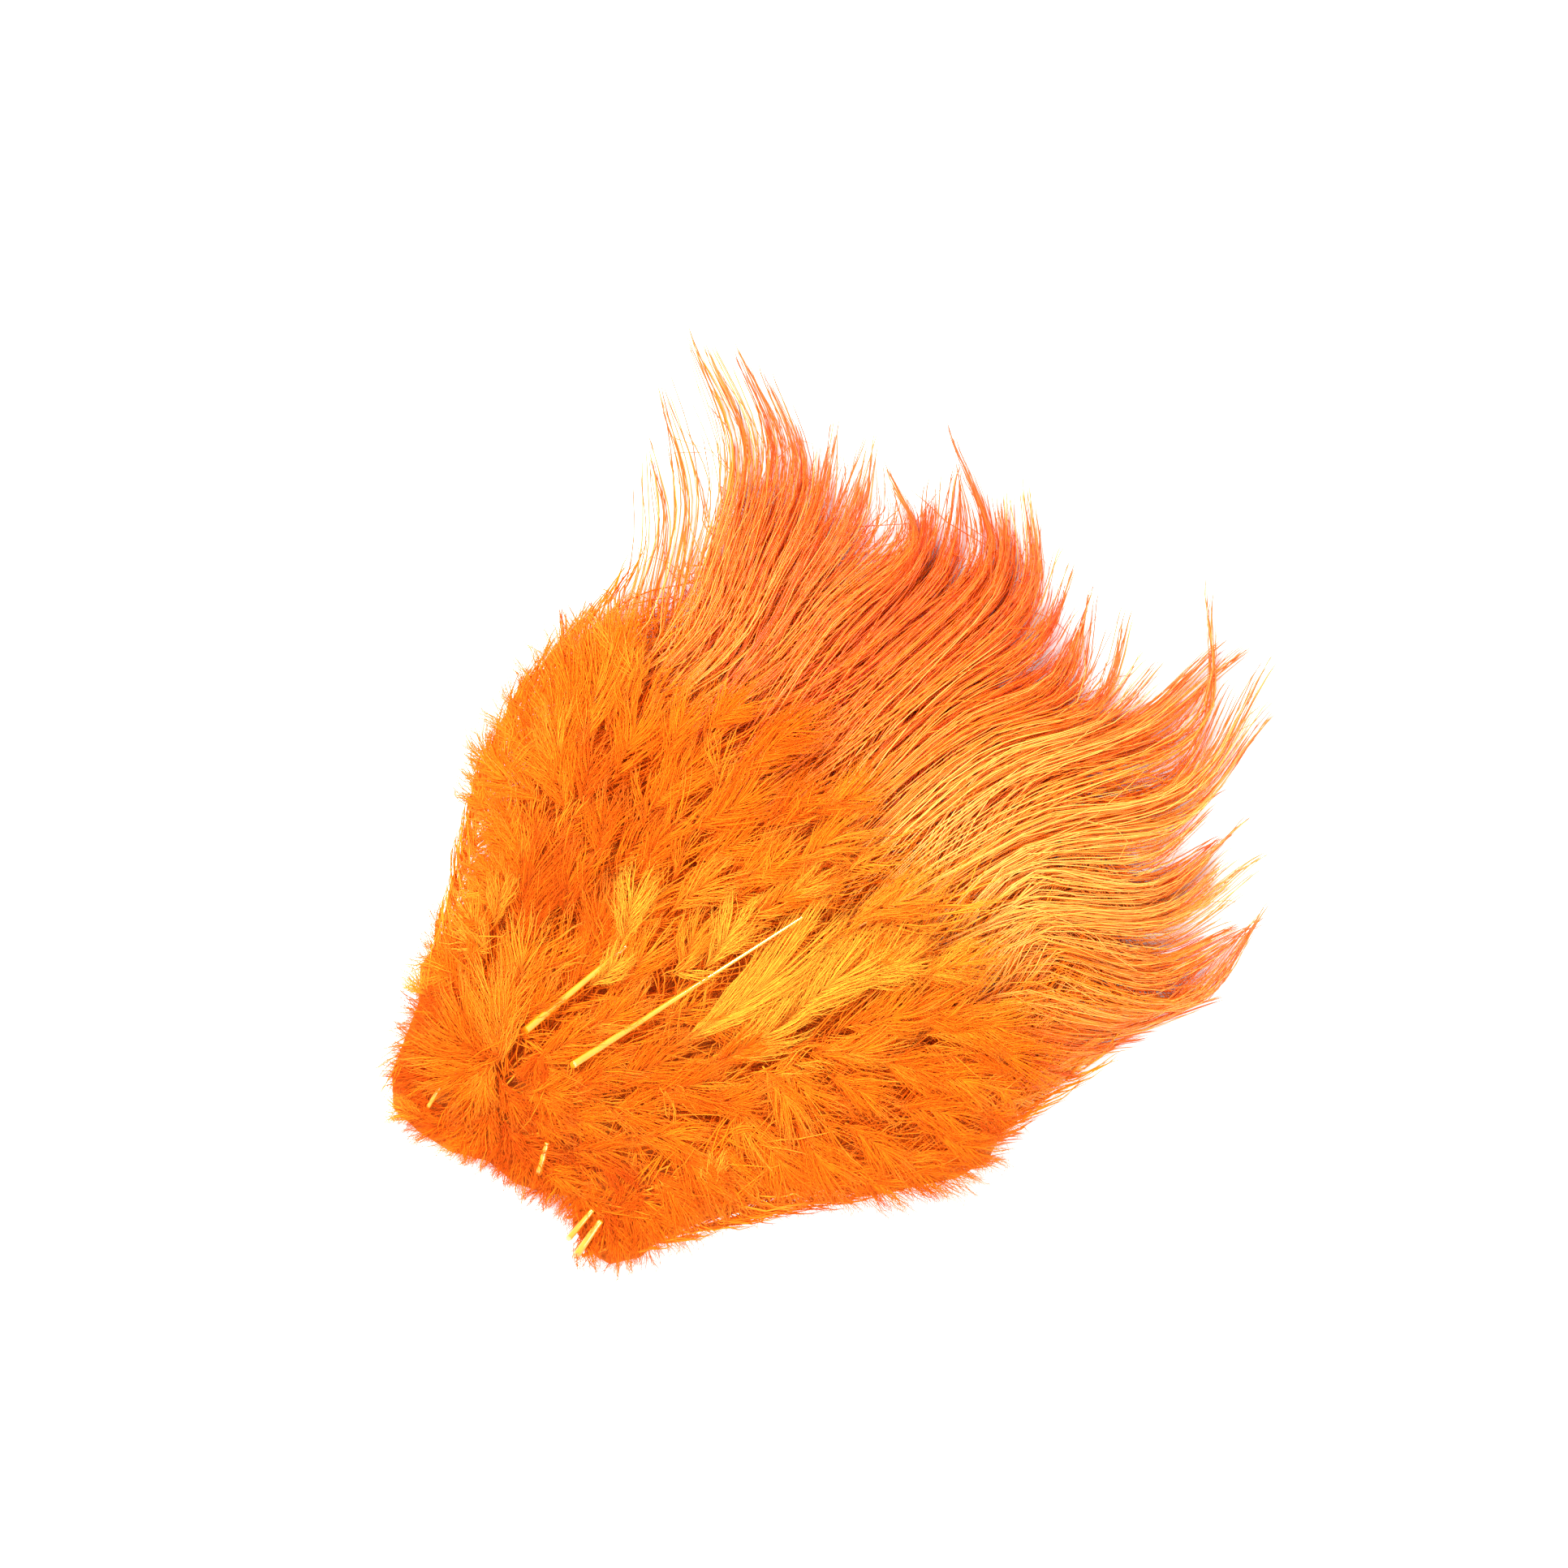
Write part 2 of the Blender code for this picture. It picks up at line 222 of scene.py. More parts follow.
# Tufts of down that lie on top. Each piece has its tone of dyeing (in the left corner a deep tone that is
# painted shade), how far its tufts stand proud in millimetres, and where each tuft is rooted and where it
# ends, as pixels
TUFTS = {
    "left_tufts": (0.1, 0.2, [
        ((700, 930), (690, 770)), ((690, 940), (648, 800)), ((720, 920), (735, 752)),
        ((680, 960), (605, 865)), ((670, 985), (580, 930)), ((660, 1020), (590, 985)),
        ((750, 900), (770, 745)), ((640, 1060), (595, 1005)), ((640, 1110), (595, 1045)),
        ((700, 1000), (640, 890)), ((710, 980), (690, 850)), ((650, 1090), (620, 990)),
        ((640, 960), (582, 905)), ((630, 1000), (572, 958)), ((622, 1080), (566, 1048)),
        ((612, 1115), (560, 1085)),
    ]),
    "deep_tufts": (-0.5, 0.3, [
        ((635, 1150), (700, 1010)), ((655, 1160), (690, 1060)), ((735, 1180), (742, 1080)),
        ((700, 1130), (730, 1030)), ((740, 1060), (760, 960)), ((720, 1000), (745, 890)),
        ((900, 960), (1010, 890)), ((940, 1020), (1050, 965)), ((880, 1310), (970, 1260)),
        ((640, 1260), (700, 1200)), ((1060, 1180), (1110, 1160)), ((750, 1500), (790, 1450)),
    ]),
    "middle_tufts": (0.0, 0.5, [
        ((760, 960), (800, 840)), ((800, 1000), (880, 900)), ((820, 940), (870, 840)),
        ((850, 1020), (960, 935)), ((860, 1060), (965, 1010)), ((980, 1070), (1080, 1010)),
        ((1000, 1000), (1100, 945)), ((830, 1120), (920, 1060)), ((900, 1090), (1010, 1035)),
        ((930, 1130), (1030, 1075)), ((840, 1200), (880, 1110)), ((760, 1220), (830, 1130)),
        ((790, 1080), (850, 1000)), ((700, 1210), (760, 1120)), ((870, 900), (950, 850)),
        ((1050, 1130), (1170, 1080)), ((1130, 1200), (1235, 1170)), ((930, 920), (1030, 880)),
    ]),
    "golden_tufts": (0.9, 0.8, [
        ((835, 1285), (1030, 1110)), ((880, 1300), (1005, 1215)), ((870, 1190), (925, 1095)),
        ((960, 1260), (1100, 1150)), ((1030, 1210), (1135, 1140)), ((1060, 1195), (1155, 1165)),
        ((770, 1165), (795, 1060)), ((725, 1215), (785, 1150)), ((600, 1180), (572, 1080)),
        ((610, 1140), (625, 1060)), ((960, 1110), (1030, 1060)), ((530, 1230), (498, 1190)),
        ((520, 1380), (468, 1368)), ((880, 1470), (885, 1410)),
    ]),
    "lower_tufts": (0.05, 0.5, [
        ((1040, 1260), (1160, 1210)), ((1100, 1240), (1220, 1230)), ((1140, 1270), (1250, 1290)),
        ((1180, 1290), (1310, 1322)), ((1160, 1240), (1290, 1262)), ((1000, 1290), (1120, 1270)),
        ((1080, 1300), (1190, 1330)), ((1120, 1320), (1245, 1360)), ((1020, 1320), (1110, 1370)),
        ((1100, 1360), (1225, 1400)), ((1150, 1390), (1240, 1428)), ((960, 1300), (1040, 1380)),
        ((940, 1310), (990, 1410)), ((1040, 1380), (1120, 1455)), ((1090, 1420), (1190, 1458)),
        ((980, 1380), (1060, 1475)), ((940, 1380), (1000, 1478)), ((900, 1340), (965, 1440)),
        ((1040, 1430), (1120, 1478)), ((880, 1390), (935, 1490)),
    ]),
    "back_tufts": (-0.1, 0.7, [
        ((820, 1400), (900, 1495)), ((800, 1440), (865, 1520)), ((780, 1480), (850, 1535)),
        ((760, 1470), (800, 1560)), ((740, 1500), (770, 1575)), ((720, 1510), (725, 1570)),
        ((700, 1340), (805, 1310)), ((740, 1380), (850, 1370)), ((680, 1380), (775, 1400)),
        ((760, 1340), (880, 1290)), ((800, 1350), (920, 1322)), ((700, 1420), (800, 1430)),
        ((780, 1400), (890, 1420)), ((860, 1350), (960, 1340)), ((660, 1310), (760, 1260)),
        ((640, 1350), (735, 1330)), ((715, 1270), (805, 1215)), ((660, 1440), (730, 1470)),
        ((690, 1450), (760, 1500)), ((830, 1450), (920, 1470)),
    ]),
    "pale_tufts": (0.45, 1.4, [
        ((612, 1312), (600, 1165)), ((610, 1310), (560, 1185)), ((608, 1310), (520, 1230)),
        ((606, 1308), (480, 1290)), ((604, 1310), (495, 1325)), ((606, 1306), (560, 1385)),
        ((608, 1306), (596, 1375)), ((618, 1308), (645, 1180)), ((630, 1250), (655, 1120)),
    ]),
    # Its deep tone is painted shade in the left corner
    "left_corner_tufts": (-0.35, 0.5, [
        ((590, 1220), (545, 1110)), ((570, 1240), (528, 1150)), ((560, 1270), (500, 1215)),
        ((550, 1300), (478, 1275)), ((540, 1330), (468, 1320)), ((550, 1370), (480, 1375)),
        ((560, 1390), (498, 1402)), ((580, 1400), (548, 1430)), ((600, 1400), (590, 1440)),
        ((640, 1420), (612, 1462)), ((645, 1400), (652, 1480)), ((680, 1440), (655, 1492)),
        ((620, 1350), (690, 1400)), ((620, 1380), (640, 1440)), ((655, 1330), (705, 1400)),
        ((700, 1350), (765, 1330)), ((620, 1400), (700, 1440)), ((690, 1400), (645, 1455)),
        ((700, 1430), (680, 1490)), ((720, 1460), (705, 1520)), ((740, 1480), (745, 1545)),
        ((615, 1330), (650, 1395)), ((600, 1350), (600, 1420)), ((630, 1320), (720, 1345)),
        ((650, 1370), (720, 1410)), ((590, 1340), (560, 1400)), ((670, 1290), (650, 1350)),
        ((730, 1420), (780, 1470)), ((690, 1410), (700, 1470)),
    ]),
}
TUFT_WIDTH = 0.3
TUFT_HALF_WIDTHS_MM = (2.4, 4.5)
TUFT_BARBS = 9
TUFT_BARBS_PER_MM = 2.5
TUFT_BARBULES = 5

# The edge of the down, from its top left around the back to its lower right, as pixels. Short tufts stand
# along it and point away from its middle
DOWN_EDGE = [
    (775, 735), (735, 748), (700, 750), (688, 778), (648, 798), (628, 845), (600, 868), (575, 905),
    (562, 940), (582, 962), (580, 1000), (572, 1060), (558, 1108), (530, 1150), (500, 1192), (498, 1240),
    (480, 1290), (466, 1330), (468, 1376), (500, 1406), (540, 1432), (590, 1446), (625, 1475),
    (660, 1486), (698, 1492), (700, 1530), (722, 1562), (748, 1577), (788, 1568), (818, 1542),
    (862, 1526), (922, 1502), (990, 1484), (1060, 1480), (1120, 1480), (1192, 1464), (1232, 1440),
    (1252, 1400), (1268, 1358),
]
DOWN_MIDDLE = (790, 1190)
EDGE_TUFT_SPACING = 22
EDGE_TUFT_LENGTHS = (55, 95)
EDGE_TUFT_ASIDE = 22
EDGE_TUFT_TIPS = (-8, 6)
EDGE_TONE, EDGE_TONE_SPREAD = -0.1, 0.35
EDGE_TUFT_PROUD_MM = 0.2
EDGE_BARBS = 14
EDGE_BARBULES = 3

# Small tufts fill the down between the ones on top. They stand on rings around its middle, each a share of
# the way out to its edge, and point away from the place where the lay starts
DOWN_FRONT = [(1240, 1190), (1110, 1030), (940, 900), (775, 735)]
LAY_FROM = (600, 1290)
FILL_RINGS = (0.15, 0.32, 0.49, 0.66, 0.83)
FILL_SPACING = 58
FILL_ASIDE = 12
FILL_TURN = 0.3
FILL_LENGTHS = (75, 110)
FILL_TONE_SPREAD = 0.25
FILL_BARBS = 11
FILL_BARBULES = 3
FILL_HALF_WIDTH = 0.08

# The skin runs from the back of that edge to under the hair: how far it stays inside the edge, in pixels, and
# the pixels of its front
SKIN_INSET = 14
SKIN_FROM, SKIN_TO = 12, 39
SKIN_FRONT = [(1160, 1180), (1080, 1020), (930, 900), (760, 880), (650, 960)]
SKIN_RIM = 0.00025

# Spots where the tone is golden (above 0) or deep (below 0): a pixel, how far it reaches in pixels, how
# strongly.
# Most show where the dyeing took unevenly; the golden one on the hair is a painted highlight, and the deep
# ones in a valley of the down, in the left corner and along the back are painted shade
DYE_AND_LIGHT_SPOTS = [
    ((960, 1170), 130, 0.5),
    # Painted highlight on the hair
    ((1280, 1030), 145, 0.95),
    ((1450, 940), 110, 0.4),
    ((860, 1120), 80, 0.3),
    ((690, 1060), 110, -0.15),
    # Painted shade in a valley of the down
    ((840, 960), 90, -0.2),
    ((1200, 700), 150, -1.0),
    ((1120, 1420), 90, -0.5),
    # Painted shade in the left corner and along the back: this spot and the three below it
    ((535, 1235), 50, -0.9),
    ((515, 1340), 50, -0.9),
    ((640, 1410), 60, -0.8),
    ((760, 1510), 90, -0.7),
]

# Quills that show: where each starts and ends, as pixels, its diameter there in millimetres, and how far it
# stands proud of the pile
QUILLS = {
    "bare_quill_a": ((700, 1315), (988, 1127), 1.05, 0.3, 2.2),
    "bare_quill_b": ((640, 1276), (775, 1163), 1.2, 0.6, 0.8),
    "cut_quill_a": ((703, 1558), (740, 1505), 1.1, 0.9, 1.4),
    "cut_quill_b": ((694, 1535), (730, 1492), 0.9, 0.7, 1.4),
    "cut_quill_c": ((660, 1456), (674, 1408), 1.0, 0.7, 1.4),
    "cut_quill_d": ((523, 1370), (541, 1340), 0.6, 0.5, 1.4),
}
QUILL_SEGMENTS = 16
QUILL_SLANT = 1.2
QUILL_RIM = 0.15
SHARP_DEGREES = 40
QUILL_COLOURS = [(0.82, 0.21, 0.003, 1.0), (0.95, 0.35, 0.01, 1.0)]
# The skin's deep orange-brown is partly dyed hide and partly painted shade, darkened so that it reads as the
# shaded valleys between the tufts
SKIN_DYE_AND_SHADE_COLOURS = [(0.50, 0.09, 0.004, 1.0), (0.75, 0.20, 0.02, 1.0)]

# The colour in a barb: the stretches of it over which one colour turns into the next, the tone that is wholly
# golden or deep, which holds a painted highlight and painted shade in some spots, and how strongly single
# barbs were dyed
ROOT_TO_MIDDLE = (0.0, 0.45)
MIDDLE_TO_TIP = (0.55, 1.0)
FULL_TONE = 1.2
WEAKEST_DYE, STRONGEST_DYE = 0.86, 1.08

FLOOR_HALF_SIDE = 1.5
FLOOR_COLOUR = (0.93, 0.93, 0.93, 1.0)
WHITE = (1.0, 1.0, 1.0, 1.0)


def curve_at(value, places, heights):
    """A smooth curve through the heights given at some places, read at many values."""
    places, heights = np.asarray(places), np.asarray(heights)
    slopes = np.gradient(heights, places)
    piece = np.clip(np.searchsorted(places, value, side="right") - 1, 0, len(places) - 2)
    width = places[piece + 1] - places[piece]
    t = (value - places[piece]) / width
    near = heights[piece] * (1 + 2 * t) + slopes[piece] * width * t
    far = heights[piece + 1] * (3 - 2 * t) + slopes[piece + 1] * width * (t - 1)
    return near * (1 - t) ** 2 + far * t ** 2


def share(value, low, high):
    """How far value lies between low and high, from 0 to 1."""
    return np.clip((value - low) / (high - low), 0.0, 1.0)


def eased(value):
    """A soft start and a soft end for a value that runs from 0 to 1."""
    value = np.clip(value, 0.0, 1.0)
    return value * value * (3 - 2 * value)


# The fan


def fan_edges(depth):
    """The angles of the left and right edges at a depth, in degrees."""
    inside = np.clip(depth, 0.0, 1.0)
    return curve_at(inside, EDGE_DEPTHS, LEFT_EDGE), curve_at(inside, EDGE_DEPTHS, RIGHT_EDGE)


def fan_radii(side):
    """How far the back edge and the tips are from the fan's centre at a side."""
    inside = np.clip(side, -1.0, 1.0)
    return curve_at(inside, SIDES, BACK_RADII), curve_at(inside, SIDES, TIP_RADII)


def plan(depth, side):
    """x and y of places given by their depth and side."""
    left, right = fan_edges(depth)
    back, tip = fan_radii(side)
    angle = np.radians(right + (left - right) * (side + 1) / 2)
    radius = back + depth * (tip - back)
    return FAN_CENTRE[0] - radius * np.sin(angle), FAN_CENTRE[1] + radius * np.cos(angle)


def locate(x, y):
    """The depth and side of places, closed in on in a few rounds."""
    angle = np.degrees(np.arctan2(FAN_CENTRE[0] - x, y - FAN_CENTRE[1]))
    radius = np.hypot(x - FAN_CENTRE[0], y - FAN_CENTRE[1])
    depth = np.full(np.shape(x), 0.5)
    side = np.zeros(np.shape(x))
    for _ in range(LOCATE_ROUNDS):
        back, tip = fan_radii(side)
        depth = np.clip((radius - back) / (tip - back), *DEPTH_RANGE)
        left, right = fan_edges(depth)
        side = np.clip(2 * (angle - right) / (left - right) - 1, *SIDE_RANGE)
    return depth, side


def photo_place(across_pixels, down_pixels):
    """Where pixels of the photograph lie on the surface."""
    across = (across_pixels - FAN_CENTRE_PIXEL[0]) * PIXEL
    upward = (FAN_CENTRE_PIXEL[1] - down_pixels) * PIXEL
    x = FAN_CENTRE[0] + across * math.cos(PHOTO_TURN) - upward * math.sin(PHOTO_TURN)
    y = FAN_CENTRE[1] + across * math.sin(PHOTO_TURN) + upward * math.cos(PHOTO_TURN)
    return x, y


def row_depth(row):
    return FIRST_ROW_DEPTH + ROW_STEP * row


def feather_depth(row):
    if row < FIRST_HAIRLIKE_ROW:
        shortest, longest = DOWNY_DEPTHS
        return shortest + (longest - shortest) * row / (FIRST_HAIRLIKE_ROW - 1)
    nearest, farthest = HAIRLIKE_TIPS
    rows_on = (row - FIRST_HAIRLIKE_ROW) / (LAST_ROW - FIRST_HAIRLIKE_ROW)
    return nearest + (farthest - nearest) * rows_on - row_depth(row)


def side_mm(depth, side):
    """How many millimetres one unit of side is at a place."""
    left, right = fan_edges(depth)
    back, tip = fan_radii(side)
    return np.radians(left - right) / 2 * (back + depth * (tip - back)) / MM


def level(row, depth, side):
    """Height of the middle of a feather of that row, as the solids have it."""
    rows_below = np.clip((depth - row_depth(row)) / ROW_STEP, 0.0, LAST_ROW - row)
    pitch = PITCH + (TIP_PITCH - PITCH) * share(depth, LAST_ROW_DEPTH, 1.0)
    drop = FRONT_DROP * share(depth, DROP_FROM, DROP_TO)
    on_skin = SKIN_THICKNESS + GAP + QUILL_DIAMETER / 2
    thinned = 1 - SIDE_THINNING * np.clip(side, -1.0, 1.0) ** 2
    return on_skin - drop + rows_below * pitch * thinned


def pile_height(x, y):
    """Height of the topmost feathers at a place, falling away past the edges of the pile."""
    depth, side = locate(x, y)
    tips = [row_depth(row) + feather_depth(row) for row in range(len(ROW_COUNTS))]
    row = np.interp(depth, tips, np.arange(len(ROW_COUNTS)))
    past_sides = share(np.abs(side), FALL_FROM_SIDE, FALL_TO_SIDE)
    behind = share(-depth, 0.0, FALL_BEHIND)
    left_of_it = (1 - FALL * past_sides) * (1 - FALL * behind)
    return level(row, depth, side) * left_of_it


# Blades: barbs, barbules and shafts are all long tapered spikes bent along a path


def blade_template(rings, sides):
    """A straight spike one unit long, cut across into rings. Every blade is a bent copy of one of these."""
    bm = bmesh.new()
    bmesh.ops.create_cone(bm, cap_ends=True, segments=sides, radius1=1.0, radius2=0.0, depth=1.0)
    bmesh.ops.translate(bm, verts=bm.verts, vec=(0, 0, 0.5))
    bmesh.ops.remove_doubles(bm, verts=bm.verts, dist=1e-4)
    for ring in range(1, rings):
        everything = bm.verts[:] + bm.edges[:] + bm.faces[:]
        cut_at = (0, 0, ring / rings)
        bmesh.ops.bisect_plane(bm, geom=everything, dist=1e-5, plane_co=cut_at, plane_no=(0, 0, 1))
    bmesh.ops.recalc_face_normals(bm, faces=bm.faces)
    bm.verts.index_update()
    stations, around, loops, starts, maps = [], [], [], [], []
    for vert in bm.verts:
        wide = 1.0 - vert.co.z
        stations.append(round(vert.co.z * rings))
        around.append((vert.co.x / wide, vert.co.y / wide) if wide > 1e-6 else (0.0, 0.0))
    for face in bm.faces:
        starts.append(len(loops))
        middle = face.calc_center_median()
        middle_turn = math.atan2(middle.y, middle.x)
        for vert in face.verts:
            loops.append(vert.index)
            turn = middle_turn
            if vert.co.z < 1.0 - 1e-6:
                turn = math.atan2(vert.co.y, vert.co.x)
                turn += round((middle_turn - turn) / math.tau) * math.tau
            maps.append((vert.co.z, turn / math.tau + 0.5))
    bm.free()
    return {
        "rings": rings,
        "stations": np.array(stations),
        "around": np.array(around),
        "loops": np.array(loops),
        "starts": np.array(starts),
        "maps": np.array(maps),
    }


def path_frames(paths):
    """The way along each path, and the two ways across it: level to its right, and up."""
    along = np.gradient(paths, axis=1)
    along /= np.linalg.norm(along, axis=2, keepdims=True) + 1e-12
    across = np.cross(along, (0.0, 0.0, 1.0))
    across /= np.linalg.norm(across, axis=2, keepdims=True) + 1e-12
    return along, across, np.cross(across, along)


def grow(template, paths, half_widths, flatness, dye_and_light, slot):
    """A bent copy of the template along every path. The fifth argument is strand, tone, which carries a
    painted highlight and painted shade in some spots, and how far out each blade starts and ends, and slot is
    the material slot that its faces take."""
    count = len(paths)
    station = template["stations"]
    _, across, up = path_frames(paths)
    side = across[:, station] * template["around"][None, :, 0:1]
    top = up[:, station] * template["around"][None, :, 1:2] * flatness
    verts = paths[:, station] + (side + top) * half_widths[:, station, None]
    strand, tone, starts_at, ends_at = dye_and_light
    reach = station / template["rings"]
    along = starts_at[:, None] + (ends_at - starts_at)[:, None] * reach[None, :]
    shades = np.stack(
        [along, np.repeat(strand[:, None], len(station), 1), np.repeat(tone[:, None], len(station), 1)],
        axis=2,
    )
    return {
        "count": count,
        "verts": verts.reshape(-1, 3),
        "shades": shades.reshape(-1, 3),
        "loops": (template["loops"][None] + len(station) * np.arange(count)[:, None]).ravel(),
        "starts": (template["starts"][None] + len(template["loops"]) * np.arange(count)[:, None]).ravel(),
        "maps": np.repeat(template["maps"][None], count, 0).reshape(-1, 2),
        "blade": np.repeat(np.arange(count), len(template["loops"])),
        "slots": np.full(count * len(template["starts"]), slot),
    }


def cells_for(blades):
    """Rows and columns of a grid with a cell for each blade, each cell long and narrow."""
    columns = max(1, round(math.sqrt(blades / 40)))
    return columns, math.ceil(blades / columns)


def join(name, parts, materials):
    """One mesh piece out of many groups of blades."""
    columns, rows = cells_for(sum(part["count"] for part in parts))
    verts, shades, loops, starts, maps, slots = [], [], [], [], [], []
    vert_base = loop_base = blade_base = 0
    for part in parts:
        blade = part["blade"] + blade_base
        u = (blade % columns + 0.02 + 0.96 * part["maps"][:, 0]) / columns
        v = (blade // columns + 0.06 + 0.88 * part["maps"][:, 1]) / rows
        verts.append(part["verts"])
        shades.append(part["shades"])
        loops.append(part["loops"] + vert_base)
        starts.append(part["starts"] + loop_base)
        maps.append(np.stack([u, v], axis=1))
        slots.append(part["slots"])
        vert_base += len(part["verts"])
        loop_base += len(part["loops"])
        blade_base += part["count"]
    mesh = bpy.data.meshes.new(name)
    fill_mesh(mesh, *(np.concatenate(group) for group in (verts, shades, loops, starts, maps, slots)))
    for material in materials:
        mesh.materials.append(material)
    return link(name, mesh)


def link(name, mesh):
    piece = bpy.data.objects.new(name, mesh)
    bpy.context.scene.collection.objects.link(piece)
    return piece


def fill_mesh(mesh, verts, shades, loops, starts, maps, slots):
    mesh.vertices.add(len(verts))
    mesh.loops.add(len(loops))
    mesh.polygons.add(len(starts))
    verts[:, 2] = np.maximum(verts[:, 2], LIFT_OFF_FLOOR * MM)
    mesh.vertices.foreach_set("co", verts.astype(np.float32).ravel())
    mesh.loops.foreach_set("vertex_index", loops.astype(np.int32))
    mesh.polygons.foreach_set("loop_start", starts.astype(np.int32))
    mesh.polygons.foreach_set("material_index", slots.astype(np.int32))
    mesh.polygons.foreach_set("use_smooth", np.ones(len(starts), dtype=bool))
    mesh.uv_layers.new(name="OFBake").data.foreach_set("uv", maps.astype(np.float32).ravel())
    dye_and_light = mesh.attributes.new("dye_and_light", "FLOAT_VECTOR", "POINT")
    dye_and_light.data.foreach_set("vector", shades.astype(np.float32).ravel())
    mesh.update(calc_edges=True)
    mesh.validate()


# Barbs


def bend(start, control, end, steps):
    """Points along a bow from start through beside control to end, for many bows at once."""
    u = np.linspace(0.0, 1.0, steps)[None, :]
    return start[:, None] * (1 - u) ** 2 + control[:, None] * 2 * u * (1 - u) + end[:, None] * u ** 2


def gather(values, locks, pull):
    """Pulls each blade of a lock towards the lock's mean, more and more along its length."""
    u = np.linspace(0.0, 1.0, values.shape[1])[None, :]
    means = np.zeros_like(values)
    for lock in np.unique(locks):
        mine = locks == lock
        means[mine] = values[mine].mean(axis=0)
    ease = pull[:, None] * u ** 1.4
    return values + (means - values) * ease


def in_locks(count, size, rng):
    """A lock number for each of a run of blades that grow side by side."""
    breaks = rng.random(count) < 1.0 / size
    return np.cumsum(breaks)


def outline_at(q):
    """Half width of a feather's outline, from its lowest barbs to its tip."""
    return np.minimum(1.0, 0.55 + 1.6 * q) * np.sqrt(np.clip(1 - q ** 4, 0.0, 1.0))


def fluff(paths, rng, wave_mm, lift_mm):
    """Soft waves to the side and a lift off the feather below, none at the root."""
    count, steps = paths.shape[:2]
    u = np.linspace(0.0, 1.0, steps)[None, :]
    _, across, _ = path_frames(paths)
    phase = rng.uniform(0, math.tau, (count, 1))
    turns = rng.uniform(*WAVE_TURNS, (count, 1))
    wave = np.sin(u * turns * math.tau + phase) * u * rng.uniform(*WAVE_SHARES, (count, 1)) * wave_mm * MM
    lift = np.sin(u * 2.2) * rng.uniform(*LIFT_SHARES, (count, 1)) * lift_mm * MM
    paths = paths + across * wave[..., None]
    paths[..., 2] += lift
    return paths


def barbules(paths, per_barb, length_mm, dye_and_light, template, slot, rng):
    """Short side hairs along every downy barb, to both sides and a little up and down."""
    count, steps = paths.shape[:2]
    along, across, up = path_frames(paths)
    u = (np.arange(per_barb) + rng.uniform(0.1, 0.9, (count, per_barb))) / per_barb
    at = BARBULES_FROM + BARBULES_OVER * u
    low = np.minimum((at * (steps - 1)).astype(int), steps - 2)
    part = (at * (steps - 1) - low)[..., None]
    index = np.arange(count)[:, None]
    root = paths[index, low] * (1 - part) + paths[index, low + 1] * part
    handed = np.where(np.arange(per_barb) % 2 == 0, 1.0, -1.0)[None, :, None]
    each = (count, per_barb, 1)
    spread = rng.uniform(*BARBULE_SPREADS, each)
    rise = rng.uniform(*BARBULE_RISES, each)
    way = along[index, low] + across[index, low] * handed * spread + up[index, low] * rise
    way /= np.linalg.norm(way, axis=2, keepdims=True)
    length = length_mm * MM * rng.uniform(*BARBULE_REACHES, each) * (1.1 - 0.4 * at[..., None])
    ends = np.stack([root, root + way * length], axis=2).reshape(-1, 2, 3)
    widths = np.tile(np.array([[BARBULE_HALF_WIDTH, 0.0]]) * MM, (len(ends), 1))
    strand, tone, starts_at, ends_at = dye_and_light
    reach = (starts_at[:, None] + (ends_at - starts_at)[:, None] * at).ravel()
    finer = (
        np.repeat(strand, per_barb),
        np.repeat(tone, per_barb),
        reach,
        np.minimum(reach + 0.15, 1.0),
    )
    return grow(template, ends, widths, 1.0, finer, slot)


def taper(half_width_mm, steps, count, tip_share, rng):
    """Half widths along each blade, widest a little above its root."""
    u = np.linspace(0.0, 1.0, steps)[None, :]
    shape = np.minimum(1.0, 0.6 + 2.5 * u) * (1 - (1 - tip_share) * u ** 1.6)
    return half_width_mm * MM * shape * rng.uniform(*BLADE_WIDTHS, (count, 1))


# Feathers


def place_in_plan(feather, t, c):
    """x and y of places in a feather: t along it and c across it."""
    if "row" in feather:
        depth = feather["root"] + feather["span"] * t
        side = feather["middle"] + feather["half"] * (c + feather["lean"] * t)
        past_edge = np.maximum(np.abs(side) - SPILL_FROM, 0.0)
        return plan(depth, side - np.sign(side) * (1 - SPILL) * past_edge)
    way, across = feather["way"], feather["across"]
    aside = feather["half"] * c + feather["bow"] * np.sin(math.pi * t)
    x = feather["root"][0] + way[0] * t + across[0] * aside
    y = feather["root"][1] + way[1] * t + across[1] * aside
    return x, y


def ground_at(feather, x, y):
    """Height of what the feather lies on: its own row, or the whole pile."""
    if "row" in feather:
        return level(feather["row"], *locate(x, y))
    return pile_height(x, y)


def place(feather, t, c, rise_mm):
    """Points in space for places in a feather, with a rise over what it lies on."""
    x, y = place_in_plan(feather, t, c)
    crown = feather["arch"] * np.sin(math.pi * np.clip(t, 0.0, 1.0) ** 1.3) - feather["crown"] * c ** 2
    z = ground_at(feather, x, y) + (rise_mm + feather["lift"] + crown) * MM
    return np.stack([x, y, z], axis=2)


